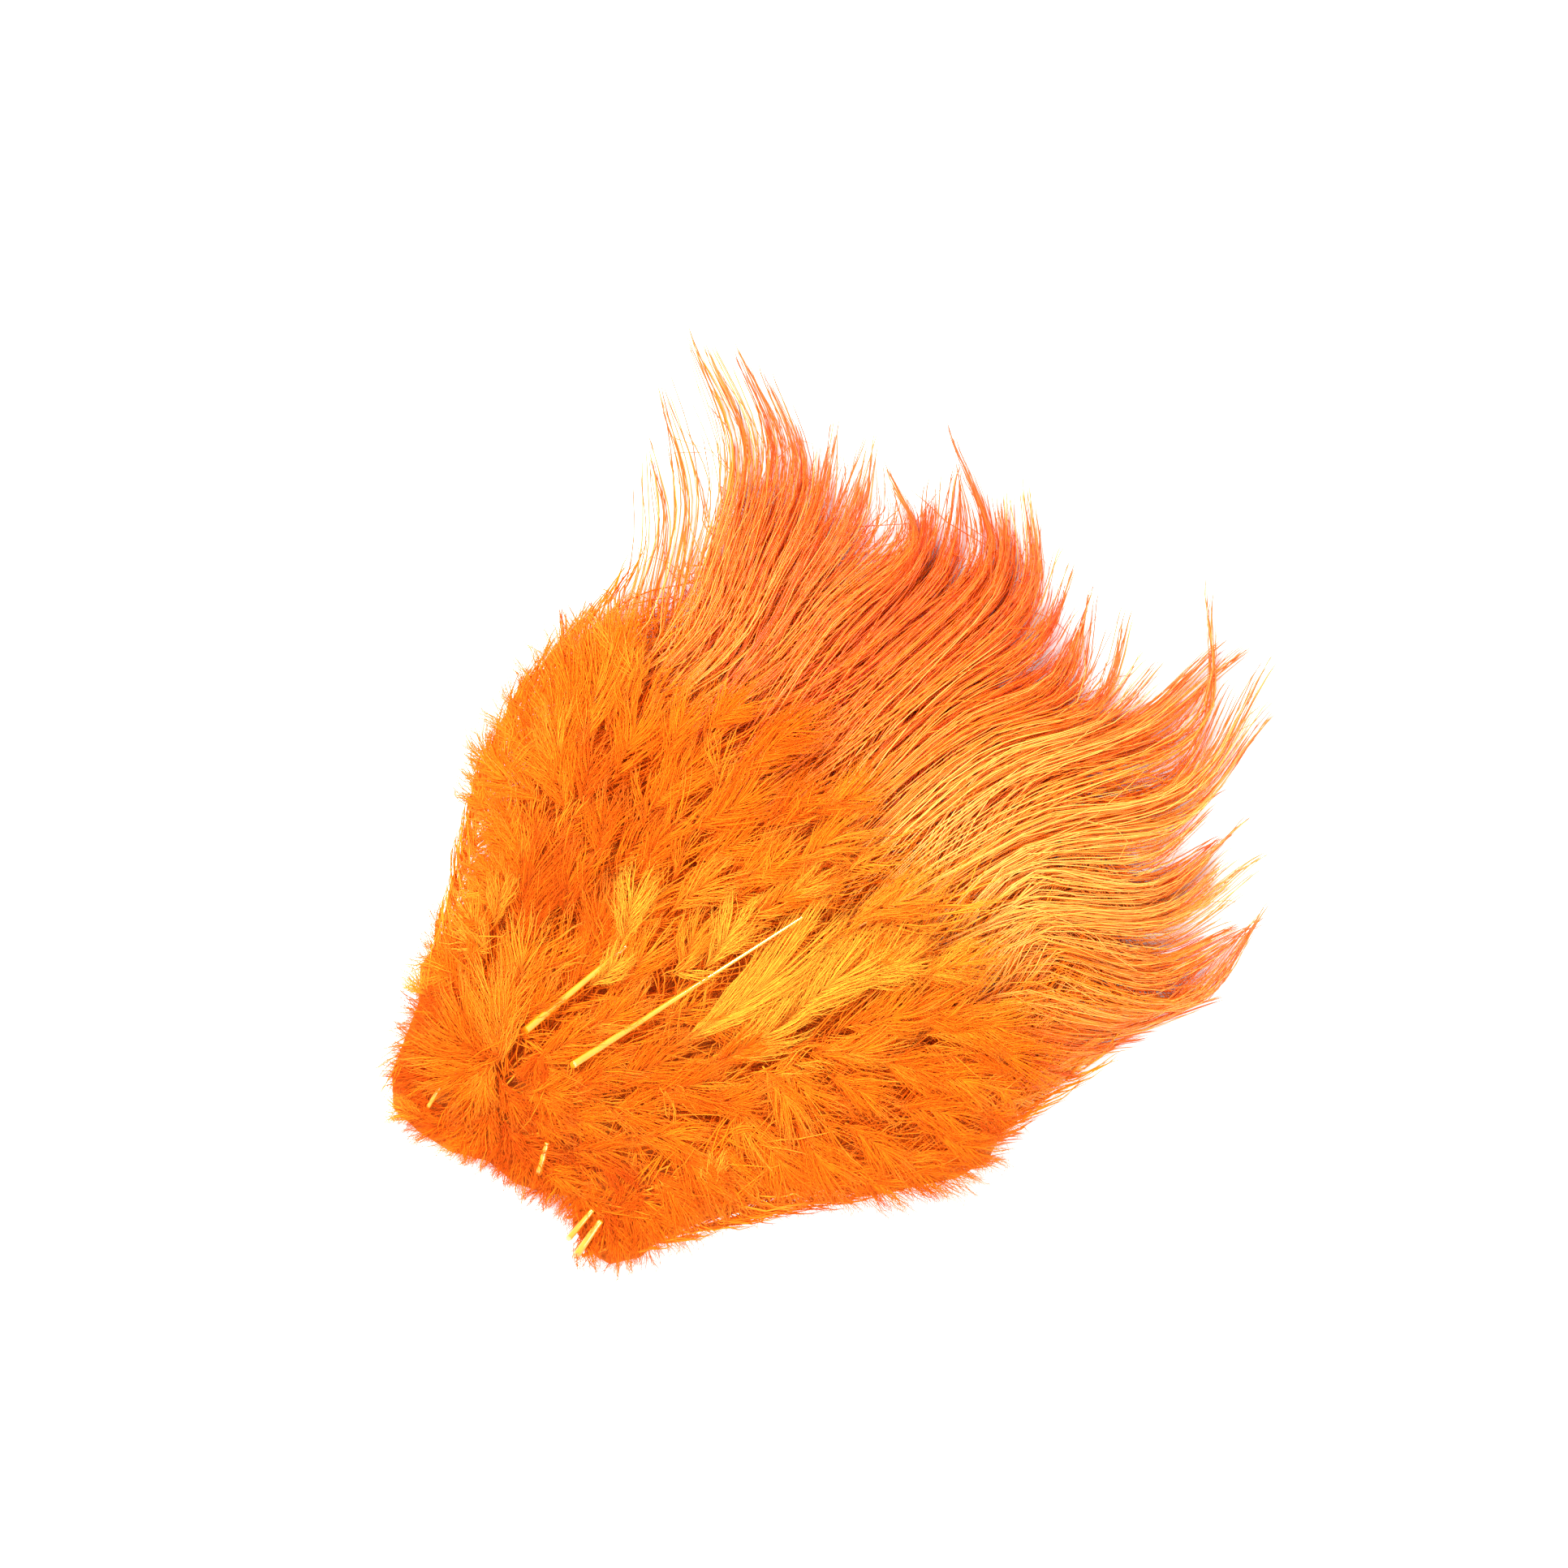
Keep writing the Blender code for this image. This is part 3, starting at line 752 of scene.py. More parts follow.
def downy_barbs(feather, q_from, q_to, count, templates, rng):
    """The soft barbs of both sides of a feather, in small pointed tufts, with their barbules."""
    groups = []
    steps = DOWN_RINGS + 1
    for handed in (-1.0, 1.0):
        q = np.sort(rng.uniform(q_from, q_to, count))
        root_t = feather["first_barb"] + feather["barbed"] * q + rng.normal(0, 0.015, count)
        tip_t = root_t + feather["barb_reach"] * (0.85 + 0.3 * q) * rng.uniform(0.7, 1.15, count)
        tip_c = handed * outline_at(q) * rng.uniform(0.4, 1.25, count)
        t = bend(root_t, root_t + 0.40 * (tip_t - root_t), tip_t, steps)
        c = bend(np.zeros(count), rng.uniform(0.45, 0.8, count) * tip_c, tip_c, steps)
        locks = in_locks(count, 5, rng)
        pull = rng.uniform(0.2, 0.8, count)
        t, c = gather(t, locks, pull), gather(c, locks, pull)
        lock_rise = rng.uniform(-0.3, 0.7, locks.max() + 1)[locks]
        rise = (lock_rise + rng.uniform(-0.3, 0.4, count))[:, None] * np.linspace(0.1, 1.0, steps)
        paths = fluff(place(feather, t, c, rise), rng, 0.6, 0.5)
        lock_tone = rng.normal(0, 0.16, locks.max() + 1)[locks]
        tone = feather["tone"] + lock_tone + rng.normal(0, 0.10, count)
        dye_and_light = (rng.random(count), tone, 0.35 * q, 0.4 + 0.6 * q)
        widths = taper(feather["thickness"], steps, count, DOWN_TIP_SHARE, rng)
        groups.append(grow(templates["down"], paths, widths, FLATNESS, dye_and_light, 1))
        per_barb = feather["barbules"]
        if per_barb:
            groups.append(barbules(paths, per_barb, BARBULE_LENGTH, dye_and_light, templates["barbule"], 1, rng))
    return groups


def shaft(feather, reach, templates, rng):
    """The feather's quill and shaft, thick at the root and hair-thin at its end."""
    steps = SHAFT_RINGS + 1
    t = np.linspace(0.0, reach, steps)[None, :]
    c = 0.06 * np.sin(t * 3.0 + rng.uniform(0, math.tau))
    paths = place(feather, t, c, -0.3)
    u = np.linspace(0.0, 1.0, steps)[None, :]
    widths = feather["quill"] / 2 * (1 - 0.85 * u ** 0.5)
    dye_and_light = (rng.random(1), np.zeros(1), np.zeros(1), np.ones(1))
    return grow(templates["shaft"], paths, widths, 1.0, dye_and_light, 0)


def dye_and_light_tone_at(x, y):
    """Deep (below 0) or golden (above 0): mostly where the dyeing took unevenly, with a painted highlight on
    the hair and painted shade in a valley, the left corner and the back.
    """
    tone = 0.0
    for pixel, reach, strength in DYE_AND_LIGHT_SPOTS:
        spot_x, spot_y = photo_place(*pixel)
        away = np.hypot(x - spot_x, y - spot_y) / (reach * PIXEL)
        tone = tone + strength * np.exp(-away ** 2)
    return tone


# The flow of the hair-like barbs


def lock_flow():
    """The locks as evenly stepped places in plan, the side that each passes, and how dense each is."""
    u = np.linspace(0.0, OVERRUN, LOCK_STEPS)
    paths, dense = [], []
    for *points, dense_to in LOCKS:
        pixels = np.array(points, dtype=float)
        steps = np.hypot(*np.diff(pixels, axis=0).T)
        knots = np.concatenate([[0.0], np.cumsum(steps)]) / steps.sum()
        across, down = (curve_at(u, knots, pixels[:, axis]) for axis in (0, 1))
        paths.append(np.stack(photo_place(across, down), axis=1))
        dense.append(dense_to / OVERRUN)
    paths = np.array(paths)
    passes = paths[:, LOCK_STEPS // 3]
    _, sides = locate(passes[:, 0], passes[:, 1])
    return {"paths": paths, "rightness": np.maximum.accumulate(-sides), "dense": np.array(dense)}


def lock_at(flow, side):
    """Which lock lies at a side: a number that may lie between two of them."""
    return np.interp(-side, flow["rightness"], np.arange(len(LOCKS)))


def flow_at(flow, lock, reach):
    """Places along the locks, for numbers that may lie between two locks and reaches from 0 to 1."""
    paths = flow["paths"]
    lock = np.clip(lock, 0.0, len(LOCKS) - 1.001)
    step = np.clip(reach, 0.0, 1.0) * (LOCK_STEPS - 1.001)
    left, low = lock.astype(int), step.astype(int)
    aside, ahead = (lock - left)[..., None], (step - low)[..., None]
    near = paths[left, low] * (1 - ahead) + paths[left, low + 1] * ahead
    far = paths[left + 1, low] * (1 - ahead) + paths[left + 1, low + 1] * ahead
    return near * (1 - aside) + far * aside


def hairlike_barbs(feather, count, flow, templates, rng):
    """The long barbs of a front feather: they leave the end of its shaft and run on into the locks."""
    groups = []
    steps = HAIR_RINGS + 1
    u = np.linspace(0.0, 1.0, steps)[None, :]
    for handed in (-1.0, 1.0):
        q = np.sort(rng.uniform(0.0, 1.0, count))
        root_t = feather["shaft_end"] - HAIRED_STRETCH * (1 - q)
        out = handed * (1.05 - q ** 1.3) + rng.normal(0, 0.12, count)
        t = bend(root_t, root_t + 0.2, np.full(count, 0.95), steps)
        c = bend(np.zeros(count), 0.72 * out, out, steps)
        own = np.stack(place_in_plan(feather, t, c), axis=2)
        lock = lock_at(flow, feather["middle"]) - out * LOCKS_ACROSS_FEATHER + feather["stray"]
        nearest = np.round(lock + feather["phase"]) - feather["phase"]
        crossing = rng.random(count) < CROSSING
        drift = rng.normal(0, DRIFT, count) + np.where(crossing, rng.normal(0, CROSSING_DRIFT, count), 0.0)
        pulled = (nearest - lock) * rng.uniform(0.0, DRAWN_IN, count) + drift
        between = lock[:, None] + pulled[:, None] * u ** 1.5
        ends_in = lock + pulled
        off_lock = np.abs(ends_in - np.round(ends_in))
        dense = np.interp(ends_in, np.arange(len(LOCKS)), flow["dense"]) * (1 - NOTCH * off_lock)
        ends = feather["reach"] * (dense + (1 - dense) * rng.random(count) ** 2.6)
        starts = share(feather["root"] + feather["span"] * root_t, 0.56, 1.0)
        ends = np.maximum(ends, starts + 0.2)
        locked = flow_at(flow, between, starts[:, None] + (ends - starts)[:, None] * u)
        joined = eased(u / 0.5)[..., None]
        flat = own * (1 - joined) + locked * joined
        z = ground_at(feather, flat[..., 0], flat[..., 1])
        lock_rise = np.sin(nearest * 7.3 + feather["phase"] * 9.0)
        rise = (0.25 * lock_rise + rng.uniform(-0.3, 0.4, count))[:, None] * u + feather["lift"]
        paths = np.concatenate([flat, (z + rise * MM)[..., None]], axis=2)
        paths = fluff(paths, rng, 0.4, 0.2)
        lock_tone = 0.18 * np.sin(nearest * 5.1 + feather["phase"] * 3.0)
        tone = feather["tone"] + lock_tone + rng.normal(0, 0.3, count)
        dye_and_light = (rng.random(count), tone, 0.9 * starts, np.ones(count))
        widths = taper(HAIR_HALF_WIDTH, steps, count, HAIR_TIP_SHARE, rng)
        kept = rng.random(count) < np.clip(lock / FULL_FROM_LOCK, FEWEST_KEPT, 1.0)
        if kept.any():
            dye_and_light = tuple(values[kept] for values in dye_and_light)
            groups.append(grow(templates["hair"], paths[kept], widths[kept], FLATNESS, dye_and_light, 2))
    return groups


def feathers_of(row, column, rng):
    """The real feathers that grow in the place of one solid feather."""
    cell = 2.0 / ROW_COUNTS[row]
    from_side = cell * column - 1.0
    hairlike = row >= FIRST_HAIRLIKE_ROW
    span = feather_depth(row)
    spacing = HAIRLIKE_SPACING_MM if hairlike else DOWNY_SPACING_MM
    half_mm = HAIRLIKE_HALF_MM if hairlike else DOWNY_HALF_MM
    width = side_mm(row_depth(row) + 0.5 * span, from_side + cell / 2)
    count = max(1, round(cell * width / spacing))
    feathers = []
    for number in range(count):
        middle = from_side + cell * (number + 0.5) / count + rng.normal(0, 0.06) * cell / count
        tip_x, tip_y = plan(row_depth(row) + span * 0.85, middle)
        shorter = 1 - SHORTER_BY * share(middle, SHORTER_FROM, SHORTER_TO) if hairlike else 1.0
        feathers.append({
            "row": row + rng.uniform(-0.3, 0.3),
            "root": row_depth(row) + ROW_STEP * rng.uniform(-0.4, 0.4),
            "middle": middle,
            "half": half_mm / width * rng.uniform(0.9, 1.15),
            "span": span * rng.uniform(0.92, 1.04) * shorter,
            "lean": rng.normal(0, 0.35),
            "lift": 0.3 * (number % 2),
            "arch": 0.3,
            "crown": 0.3,
            "tone": dye_and_light_tone_at(tip_x, tip_y) + rng.normal(0, 0.22),
            "quill": QUILL_DIAMETER * rng.uniform(0.5, 0.7),
            "shaft_end": rng.uniform(0.50, 0.60),
            "first_barb": 0.06,
            "barbed": 0.72,
            "barb_reach": 0.22,
            "barbules": 0 if hairlike else ROW_BARBULES,
            "thickness": ROW_DOWN_HALF_WIDTH,
            "phase": rng.uniform(0.0, 1.0) if rng.random() < 0.3 else 0.0,
            "stray": rng.normal(0, 0.6),
            "reach": (1 + row_depth(row) + span) / 2 * rng.uniform(0.95, 1.04),
        })
    return feathers


def grow_strays(flow, templates, materials):
    """The long single hairs that run on past every lock, alone or a few together."""
    rng = np.random.default_rng(77)
    steps = STRAY_RINGS + 1
    u = np.linspace(0.0, 1.0, steps)[None, :]
    lock = np.repeat(np.arange(len(LOCKS) - 1), STRAYS_PER_LOCK)
    count = len(lock)
    apart = rng.normal(0, 0.5, count)[:, None] * (1 - 0.75 * u)
    starts = rng.uniform(0.12, 0.4, count)
    ends = 1.0 - 0.22 * rng.random(count) ** 2
    flat = flow_at(flow, lock[:, None] + apart, starts[:, None] + (ends - starts)[:, None] * u)
    x, y = flat[..., 0], flat[..., 1]
    depth, side = locate(x, y)
    z = level(LAST_ROW, depth, side) + (0.2 + rng.uniform(0.0, 0.9, count)[:, None] * u) * MM
    paths = fluff(np.stack([x, y, z], axis=2), rng, 0.5, 0.3)
    tone = 0.25 * np.sin(lock * 5.1) + rng.normal(0, 0.4, count)
    dye_and_light = (rng.random(count), tone, 0.8 * starts, np.ones(count))
    widths = taper(STRAY_HALF_WIDTH, steps, count, STRAY_TIP_SHARE, rng)
    hairs = grow(templates["stray"], paths, widths, FLATNESS, dye_and_light, 2)
    piece = join("stray_hairs", [hairs], materials)
    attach(piece, "root")


def grow_rows(flow, templates, materials):
    """Every feather of every row, each in the place of its solid."""
    for row, count in enumerate(ROW_COUNTS):
        hairlike = row >= FIRST_HAIRLIKE_ROW
        on_top = share(row, FIRST_HAIRLIKE_ROW, LAST_ROW)
        hairs = round(FEWEST_HAIRS + (MOST_HAIRS - FEWEST_HAIRS) * on_top ** 2)
        for column in range(count):
            rng = np.random.default_rng(100 * row + column)
            parts = []
            for feather in feathers_of(row, column, rng):
                if hairlike:
                    parts.append(shaft(feather, feather["shaft_end"], templates, rng))
                    parts += downy_barbs(feather, 0.05, 0.5, UNDER_BARBS, templates, rng)
                    parts += hairlike_barbs(feather, hairs, flow, templates, rng)
                else:
                    parts.append(shaft(feather, 0.8, templates, rng))
                    parts += downy_barbs(feather, 0.0, 1.0, ROW_BARBS, templates, rng)
            name = f"{row + 1:02d}{'abcdef'[column]}"
            piece = join(f"plumage_{name}", parts, materials)
            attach(piece, "root")
            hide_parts(f"feather_{name}")


def tuft(root_pixel, tip_pixel, tone, proud_mm, rng):
    """A small downy feather on top of the pile."""
    root = np.array(photo_place(*root_pixel))
    way = np.array(photo_place(*tip_pixel)) - root
    length = np.linalg.norm(way)
    low, high = TUFT_HALF_WIDTHS_MM
    return {
        "root": root,
        "way": way,
        "across": np.array([-way[1], way[0]]) / length,
        "half": np.clip(TUFT_WIDTH * length, low * MM, high * MM) * rng.uniform(0.9, 1.1),
        "bow": length * rng.uniform(-0.10, 0.10),
        "lift": rng.uniform(-0.2, 0.5),
        "arch": proud_mm + rng.uniform(0.1, 0.7),
        "crown": 0.6,
        "tone": tone + dye_and_light_tone_at(*(root + way * 0.7)) + rng.normal(0, 0.15),
        "quill": QUILL_DIAMETER * 0.3,
        "first_barb": 0.0,
        "barbed": 0.5,
        "barb_reach": 0.6,
        "barbules": TUFT_BARBULES,
        "thickness": TUFT_DOWN_HALF_WIDTH,
        "barbs": round(TUFT_BARBS + TUFT_BARBS_PER_MM * length / MM),
    }


def grow_tufts(templates, materials):
    """The tufts of down on top, one piece for each part of the patch."""
    for number, (name, (tone, proud_mm, places)) in enumerate(TUFTS.items()):
        rng = np.random.default_rng(9000 + number)
        parts = []
        for root_pixel, tip_pixel in places:
            feather = tuft(root_pixel, tip_pixel, tone, proud_mm, rng)
            parts.append(shaft(feather, 0.8, templates, rng))
            parts += downy_barbs(feather, 0.0, 1.0, feather["barbs"], templates, rng)
        piece = join(name, parts, materials)
        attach(piece, "root")


def spaced(points, spacing):
    """Evenly spaced places along a line of points."""
    points = np.array(points, dtype=float)
    passed = np.concatenate([[0.0], np.cumsum(np.hypot(*np.diff(points, axis=0).T))])
    stops = np.arange(0.0, passed[-1], spacing)
    return np.stack([np.interp(stops, passed, points[:, axis]) for axis in (0, 1)], axis=1)


def grow_edge_tufts(templates, materials):
    """Short tufts along the edge of the down."""
    rng = np.random.default_rng(500)
    parts = []
    for tip in spaced(DOWN_EDGE, EDGE_TUFT_SPACING):
        inward = DOWN_MIDDLE - tip
        inward /= np.linalg.norm(inward)
        aside = np.array([-inward[1], inward[0]]) * rng.uniform(-1, 1) * EDGE_TUFT_ASIDE
        root = tip + inward * rng.uniform(*EDGE_TUFT_LENGTHS) + aside
        end = tip - inward * rng.uniform(*EDGE_TUFT_TIPS)
        feather = tuft(root, end, rng.normal(EDGE_TONE, EDGE_TONE_SPREAD), EDGE_TUFT_PROUD_MM, rng)
        feather["barbules"] = EDGE_BARBULES
        parts += downy_barbs(feather, 0.0, 1.0, EDGE_BARBS, templates, rng)
    piece = join("edge_tufts", parts, materials)
    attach(piece, "root")


def grow_fill_tufts(templates, materials):
    """Small tufts all over the down, a little lower than the ones on top, so that no gap shows."""
    rng = np.random.default_rng(800)
    rim = np.array([*DOWN_EDGE, *DOWN_FRONT], dtype=float)
    parts = []
    for out in FILL_RINGS:
        for stop in spaced(DOWN_MIDDLE + (rim - DOWN_MIDDLE) * out, FILL_SPACING):
            middle = stop + rng.normal(0, FILL_ASIDE, 2)
            way = middle - LAY_FROM
            turn = math.atan2(way[1], way[0]) + rng.normal(0, FILL_TURN)
            half = np.array([math.cos(turn), math.sin(turn)]) * rng.uniform(*FILL_LENGTHS) / 2
            feather = tuft(middle - half, middle + half, rng.normal(0.0, FILL_TONE_SPREAD), 0.0, rng)
            feather["barbules"] = FILL_BARBULES
            feather["thickness"] = FILL_HALF_WIDTH
            parts += downy_barbs(feather, 0.0, 1.0, FILL_BARBS, templates, rng)
    piece = join("fill_tufts", parts, materials)
    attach(piece, "root")


# Skin and quills


def soften(bm, edges, offset):
    """Rounds edges over in two short steps."""
    bmesh.ops.bevel(
        bm,
        geom=edges,
        offset=offset,
        segments=2,
        profile=0.5,
        affect="EDGES",
        material=-1,
    )


def add_skin(material):
    """The hide, cut a little inside the edge of the down, with soft rims."""
    cut_edge = np.array(DOWN_EDGE[SKIN_FROM:SKIN_TO], dtype=float)
    inward = DOWN_MIDDLE - cut_edge
    cut_edge += inward / np.linalg.norm(inward, axis=1, keepdims=True) * SKIN_INSET
    outline = [photo_place(*pixel) for pixel in [*cut_edge, *SKIN_FRONT]]
    bm = bmesh.new()
    face = bm.faces.new([bm.verts.new((x, y, 0.0)) for x, y in outline])
    raised = bmesh.ops.extrude_face_region(bm, geom=[face])["geom"]
    top = [item for item in raised if isinstance(item, bmesh.types.BMVert)]
    bmesh.ops.translate(bm, verts=top, vec=(0, 0, SKIN_THICKNESS))
    rims = [edge for edge in bm.edges if abs(edge.verts[0].co.z - edge.verts[1].co.z) < SKIN_RIM]
    soften(bm, rims, SKIN_RIM)
    bmesh.ops.recalc_face_normals(bm, faces=bm.faces)
    mesh = bpy.data.meshes.new("skin_dyed_and_shaded")
    bm.to_mesh(mesh)
    bm.free()
    mesh.materials.append(material)
    piece = link("skin_dyed_and_shaded", mesh)
    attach(piece, "root")
    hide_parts("skin")


def quill_mesh(name, start, end, start_diameter, end_diameter):
    """A round quill, cut on a slant at its start, with its rims softened."""
    length = (end - start).length
    bm = bmesh.new()
    bmesh.ops.create_cone(
        bm,
        cap_ends=True,
        segments=QUILL_SEGMENTS,
        radius1=start_diameter / 2,
        radius2=end_diameter / 2,
        depth=length,
    )
    bmesh.ops.translate(bm, verts=bm.verts, vec=(0, 0, length / 2))
    sliced = bmesh.ops.bisect_plane(
        bm,
        geom=bm.verts[:] + bm.edges[:] + bm.faces[:],
        dist=1e-6,
        plane_co=(0, 0, start_diameter),
        plane_no=(0, -QUILL_SLANT, 1.0),
        clear_inner=True,
    )
    rim = [item for item in sliced["geom_cut"] if isinstance(item, bmesh.types.BMEdge)]
    bmesh.ops.holes_fill(bm, edges=rim, sides=0)
    sharp = [edge for edge in bm.edges if edge.calc_face_angle(0.0) > math.radians(SHARP_DEGREES)]
    soften(bm, sharp, end_diameter * QUILL_RIM)
    turn =(end - start).to_track_quat("Z", "Y").to_matrix().to_4x4()
    bmesh.ops.transform(bm, matrix=Matrix.Translation(start) @ turn, verts=bm.verts)
    bmesh.ops.recalc_face_normals(bm, faces=bm.faces)
    for face in bm.faces:
        face.smooth = True
    mesh = bpy.data.meshes.new(name)
    bm.to_mesh(mesh)
    bm.free()
    return mesh


def grow_quills(material):
    """Glossy quills in place of the plain rods."""
    for node, (start_pixel, end_pixel, start_mm, end_mm, rise_mm) in QUILLS.items():
        ends = []
        for pixel in (start_pixel, end_pixel):
            x, y = photo_place(*pixel)
            ends.append(Vector((float(x), float(y), float(pile_height(x, y)) + rise_mm * MM)))
        piece = link(f"glossy_{node}", quill_mesh(node, *ends, start_mm * MM, end_mm * MM))
        piece.data.materials.append(material)
        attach(piece, "root")
        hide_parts(node)


# Materials


def new_material(name):
    material = bpy.data.materials.new(name)
    material.use_nodes = True
    return material, material.node_tree.nodes, material.node_tree.links


def mapped(nodes, links, value, low, high):
    """0 where value is at low, 1 where it is at high."""
    ranged = nodes.new("ShaderNodeMapRange")
    ranged.inputs["From Min"].default_value = low
    ranged.inputs["From Max"].default_value = high
    links.new(value, ranged.inputs["Value"])
    return ranged.outputs["Result"]


def mixed(nodes, links, factor, first, second):
    mix = nodes.new("ShaderNodeMix")
    mix.data_type = "RGBA"
    links.new(factor, mix.inputs["Factor"])
    links.new(first, mix.inputs["A"])
    links.new(second, mix.inputs["B"])
    return mix.outputs["Result"]


def uneven(nodes, links, place_on, scale, detail, colours):
    """A colour that wanders between a darker and a lighter one over the object's surface."""
    noise = nodes.new("ShaderNodeTexNoise")
    noise.inputs["Scale"].default_value = scale
    noise.inputs["Detail"].default_value = detail
    links.new(place_on.outputs["Object"], noise.inputs["Vector"])
    ramp = nodes.new("ShaderNodeValToRGB")
    for element, colour in zip(ramp.color_ramp.elements, colours):
        element.color = colour
    links.new(noise.outputs["Fac"], ramp.inputs["Fac"])
    return ramp.outputs["Color"]


def dye_and_light_group():
    """The colour of a barb, dyed so that it changes from its root to its tip and is never quite the same on
    two barbs, with a painted highlight and painted shade mixed in through its golden and deep tones.
    """
    group = bpy.data.node_groups.new("barb colour with painted light", "ShaderNodeTree")
    for socket in ("Root", "Middle", "Tip", "Golden", "Deep"):
        group.interface.new_socket(socket, in_out="INPUT", socket_type="NodeSocketColor")
    group.interface.new_socket("Color", in_out="OUTPUT", socket_type="NodeSocketColor")
    nodes, links = group.nodes, group.links
    inputs = nodes.new("NodeGroupInput")
    outputs = nodes.new("NodeGroupOutput")
    dye_and_light = nodes.new("ShaderNodeAttribute")
    dye_and_light.attribute_name = "dye_and_light"
    split = nodes.new("ShaderNodeSeparateXYZ")
    links.new(dye_and_light.outputs["Vector"], split.inputs[0])
    lower = mapped(nodes, links, split.outputs["X"], *ROOT_TO_MIDDLE)
    upper = mapped(nodes, links, split.outputs["X"], *MIDDLE_TO_TIP)
    colour = mixed(nodes, links, lower, inputs.outputs["Root"], inputs.outputs["Middle"])
    colour = mixed(nodes, links, upper, colour, inputs.outputs["Tip"])
    golden = mapped(nodes, links, split.outputs["Z"], 0.0, FULL_TONE)
    deep = mapped(nodes, links, split.outputs["Z"], 0.0, -FULL_TONE)
    colour = mixed(nodes, links, golden, colour, inputs.outputs["Golden"])
    colour = mixed(nodes, links, deep, colour, inputs.outputs["Deep"])
    strength = nodes.new("ShaderNodeMapRange")
    strength.inputs["To Min"].default_value = WEAKEST_DYE
    strength.inputs["To Max"].default_value = STRONGEST_DYE
    links.new(split.outputs["Y"], strength.inputs["Value"])
    shaded = nodes.new("ShaderNodeVectorMath")
    shaded.operation = "SCALE"
    links.new(colour, shaded.inputs[0])
    links.new(strength.outputs["Result"], shaded.inputs["Scale"])
    links.new(shaded.outputs["Vector"], outputs.inputs["Color"])
    return group


def barb_material(name, group, colours, roughness, sheen, gloss):
    material, nodes, links = new_material(name)
    shader = nodes["Principled BSDF"]
    # The barb's colour group: dyed colour with a painted highlight and painted shade mixed in
    dyed = nodes.new("ShaderNodeGroup")
    dyed.node_tree = group
    for socket, colour in colours.items():
        dyed.inputs[socket].default_value = colour
    links.new(dyed.outputs["Color"], shader.inputs["Base Color"])
    shader.inputs["Roughness"].default_value = roughness
    shader.inputs["Sheen Weight"].default_value = sheen
    shader.inputs["Sheen Roughness"].default_value = 0.4
    shader.inputs["Sheen Tint"].default_value = (1.0, 0.42, 0.08, 1.0)
    shader.inputs["Specular IOR Level"].default_value = gloss
    return material


def down_material(group):
    colours = {
        "Root": (0.96, 0.16, 0.003, 1.0),
        "Middle": (1.0, 0.20, 0.004, 1.0),
        "Tip": (1.0, 0.30, 0.03, 1.0),
        "Golden": (1.0, 0.40, 0.03, 1.0),
        # The deep colour is darker than dyeing alone gives: painted shade for the left corner and the back
        "Deep": (0.68, 0.08, 0.002, 1.0),
    }
    return barb_material("down_dyed_and_shaded", group, colours, 0.8, 0.08, 0.06)


def hair_material(group):
    colours = {
        "Root": (0.98, 0.28, 0.012, 1.0),
        "Middle": (0.98, 0.23, 0.006, 1.0),
        "Tip": (0.90, 0.12, 0.001, 1.0),
        # The golden colour is paler than dyeing alone gives: a painted highlight on the hair
        "Golden": (1.0, 0.50, 0.09, 1.0),
        "Deep": (0.84, 0.08, 0.001, 1.0),
    }
    return barb_material("hairlike_barbs", group, colours, 0.30, 0.0, 0.36)


def shaft_material(group):
    """The shafts inside the feathers, dyed through and duller than the bare quills."""
    colours = {
        "Root": (1.0, 0.30, 0.01, 1.0),
        "Middle": (1.0, 0.27, 0.01, 1.0),
        "Tip": (1.0, 0.22, 0.01, 1.0),
        "Golden": (1.0, 0.42, 0.03, 1.0),
        "Deep": (0.95, 0.14, 0.002, 1.0),
    }
    return barb_material("dyed_shaft", group, colours, 0.55, 0.0, 0.2)


def quill_material():
    material, nodes, links = new_material("quill_keratin")
    shader = nodes["Principled BSDF"]
    place_on = nodes.new("ShaderNodeTexCoord")
    streaks = uneven(nodes, links, place_on, 900.0, 3.0, QUILL_COLOURS)
    links.new(streaks, shader.inputs["Base Color"])
    shader.inputs["Roughness"].default_value = 0.15
    shader.inputs["Specular IOR Level"].default_value = 0.8
    shader.inputs["Coat Weight"].default_value = 1.0
    shader.inputs["Coat Roughness"].default_value = 0.08
    return material


def skin_material():
    material, nodes, links = new_material("tanned_skin")
    shader = nodes["Principled BSDF"]
    place_on = nodes.new("ShaderNodeTexCoord")
    # Blotches between the skin colours, which hold painted shade as well as the hide's own colour
    blotches = uneven(nodes, links, place_on, 140.0, 6.0, SKIN_DYE_AND_SHADE_COLOURS)
    links.new(blotches, shader.inputs["Base Color"])
    pores = nodes.new("ShaderNodeTexVoronoi")
    pores.inputs["Scale"].default_value = 900.0
    links.new(place_on.outputs["Object"], pores.inputs["Vector"])
    bump = nodes.new("ShaderNodeBump")
    bump.inputs["Strength"].default_value = 0.4
    bump.inputs["Distance"].default_value = 0.0002
    links.new(pores.outputs["Distance"], bump.inputs["Height"])
    links.new(bump.outputs["Normal"], shader.inputs["Normal"])
    shader.inputs["Roughness"].default_value = 0.8
    shader.inputs["Specular IOR Level"].default_value = 0.15
    return material


# Floor, light and camera


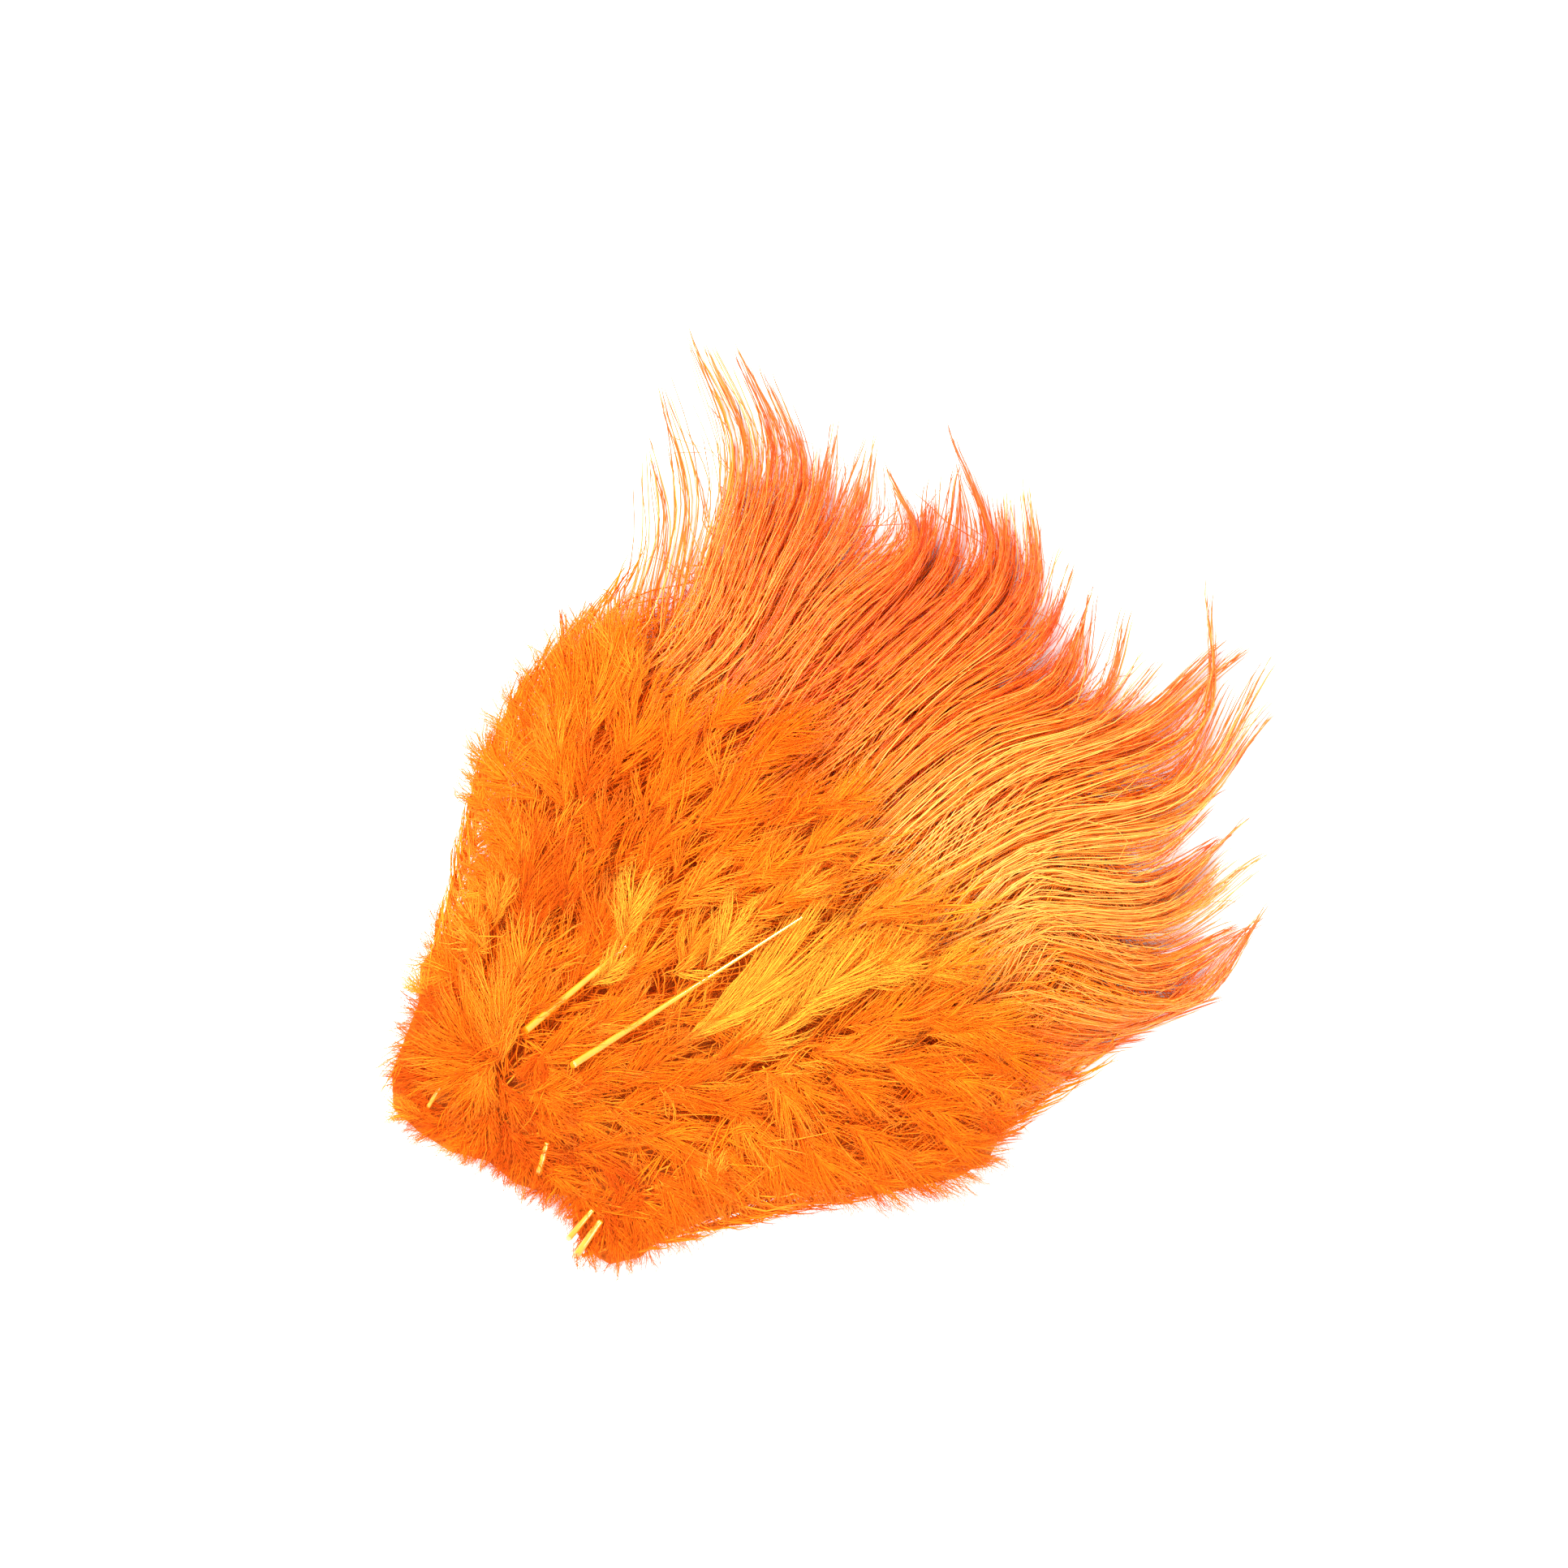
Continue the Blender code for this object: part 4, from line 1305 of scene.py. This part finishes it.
def add_floor():
    bm = bmesh.new()
    bmesh.ops.create_grid(bm, x_segments=1, y_segments=1, size=FLOOR_HALF_SIDE)
    mesh = bpy.data.meshes.new("floor")
    bm.to_mesh(mesh)
    bm.free()
    material, nodes, _ = new_material("pale_floor")
    shader = nodes["Principled BSDF"]
    shader.inputs["Base Color"].default_value = FLOOR_COLOUR
    shader.inputs["Roughness"].default_value = 0.9
    mesh.materials.append(material)
    link("floor", mesh)


def add_light(name, from_where, size, power):
    light = bpy.data.lights.new(name, "AREA")
    light.shape = "DISK"
    light.size = size
    light.energy = power
    lamp = bpy.data.objects.new(name, light)
    lamp.location = from_where
    lamp.rotation_euler = (-Vector(from_where)).to_track_quat("-Z", "Y").to_euler()
    bpy.context.scene.collection.objects.link(lamp)


def add_lights():
    world = bpy.data.worlds.new("studio")
    world.use_nodes = True
    background = world.node_tree.nodes["Background"]
    background.inputs["Color"].default_value = WHITE
    background.inputs["Strength"].default_value = 1.0
    bpy.context.scene.world = world
    add_light("key_softbox", (-0.62, -0.1, 0.78), 0.4, 20.0)
    add_light("fill_softbox", (0.6, 0.1, 0.8), 0.8, 8.0)


def add_camera():
    """Straight above the middle of the photograph, turned so that the lay runs up and to the right."""
    x, y = photo_place(PHOTO_SIDE / 2, PHOTO_SIDE / 2)
    camera = bpy.data.cameras.new("camera")
    camera.lens = LENS_MM
    camera.sensor_width = SENSOR_MM
    camera.clip_start = 0.01
    holder = bpy.data.objects.new("camera", camera)
    holder.location = (x, y, MIDDLE_HEIGHT + PHOTO_SIDE * PIXEL * LENS_MM / SENSOR_MM)
    holder.rotation_euler = (0.0, 0.0, PHOTO_TURN)
    bpy.context.scene.collection.objects.link(holder)
    bpy.context.scene.camera = holder


def main():
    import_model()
    bpy.context.scene.view_settings.view_transform = "Standard"
    group = dye_and_light_group()
    barbs = [shaft_material(group), down_material(group), hair_material(group)]
    templates = {
        "hair": blade_template(HAIR_RINGS, 3),
        "down": blade_template(DOWN_RINGS, 3),
        "stray": blade_template(STRAY_RINGS, 3),
        "barbule": blade_template(1, 3),
        "shaft": blade_template(SHAFT_RINGS, 6),
    }
    flow = lock_flow()
    grow_rows(flow, templates, barbs)
    grow_strays(flow, templates, barbs)
    grow_tufts(templates, barbs)
    grow_edge_tufts(templates, barbs)
    grow_fill_tufts(templates, barbs)
    grow_quills(quill_material())
    add_skin(skin_material())
    add_floor()
    add_lights()
    add_camera()


main()
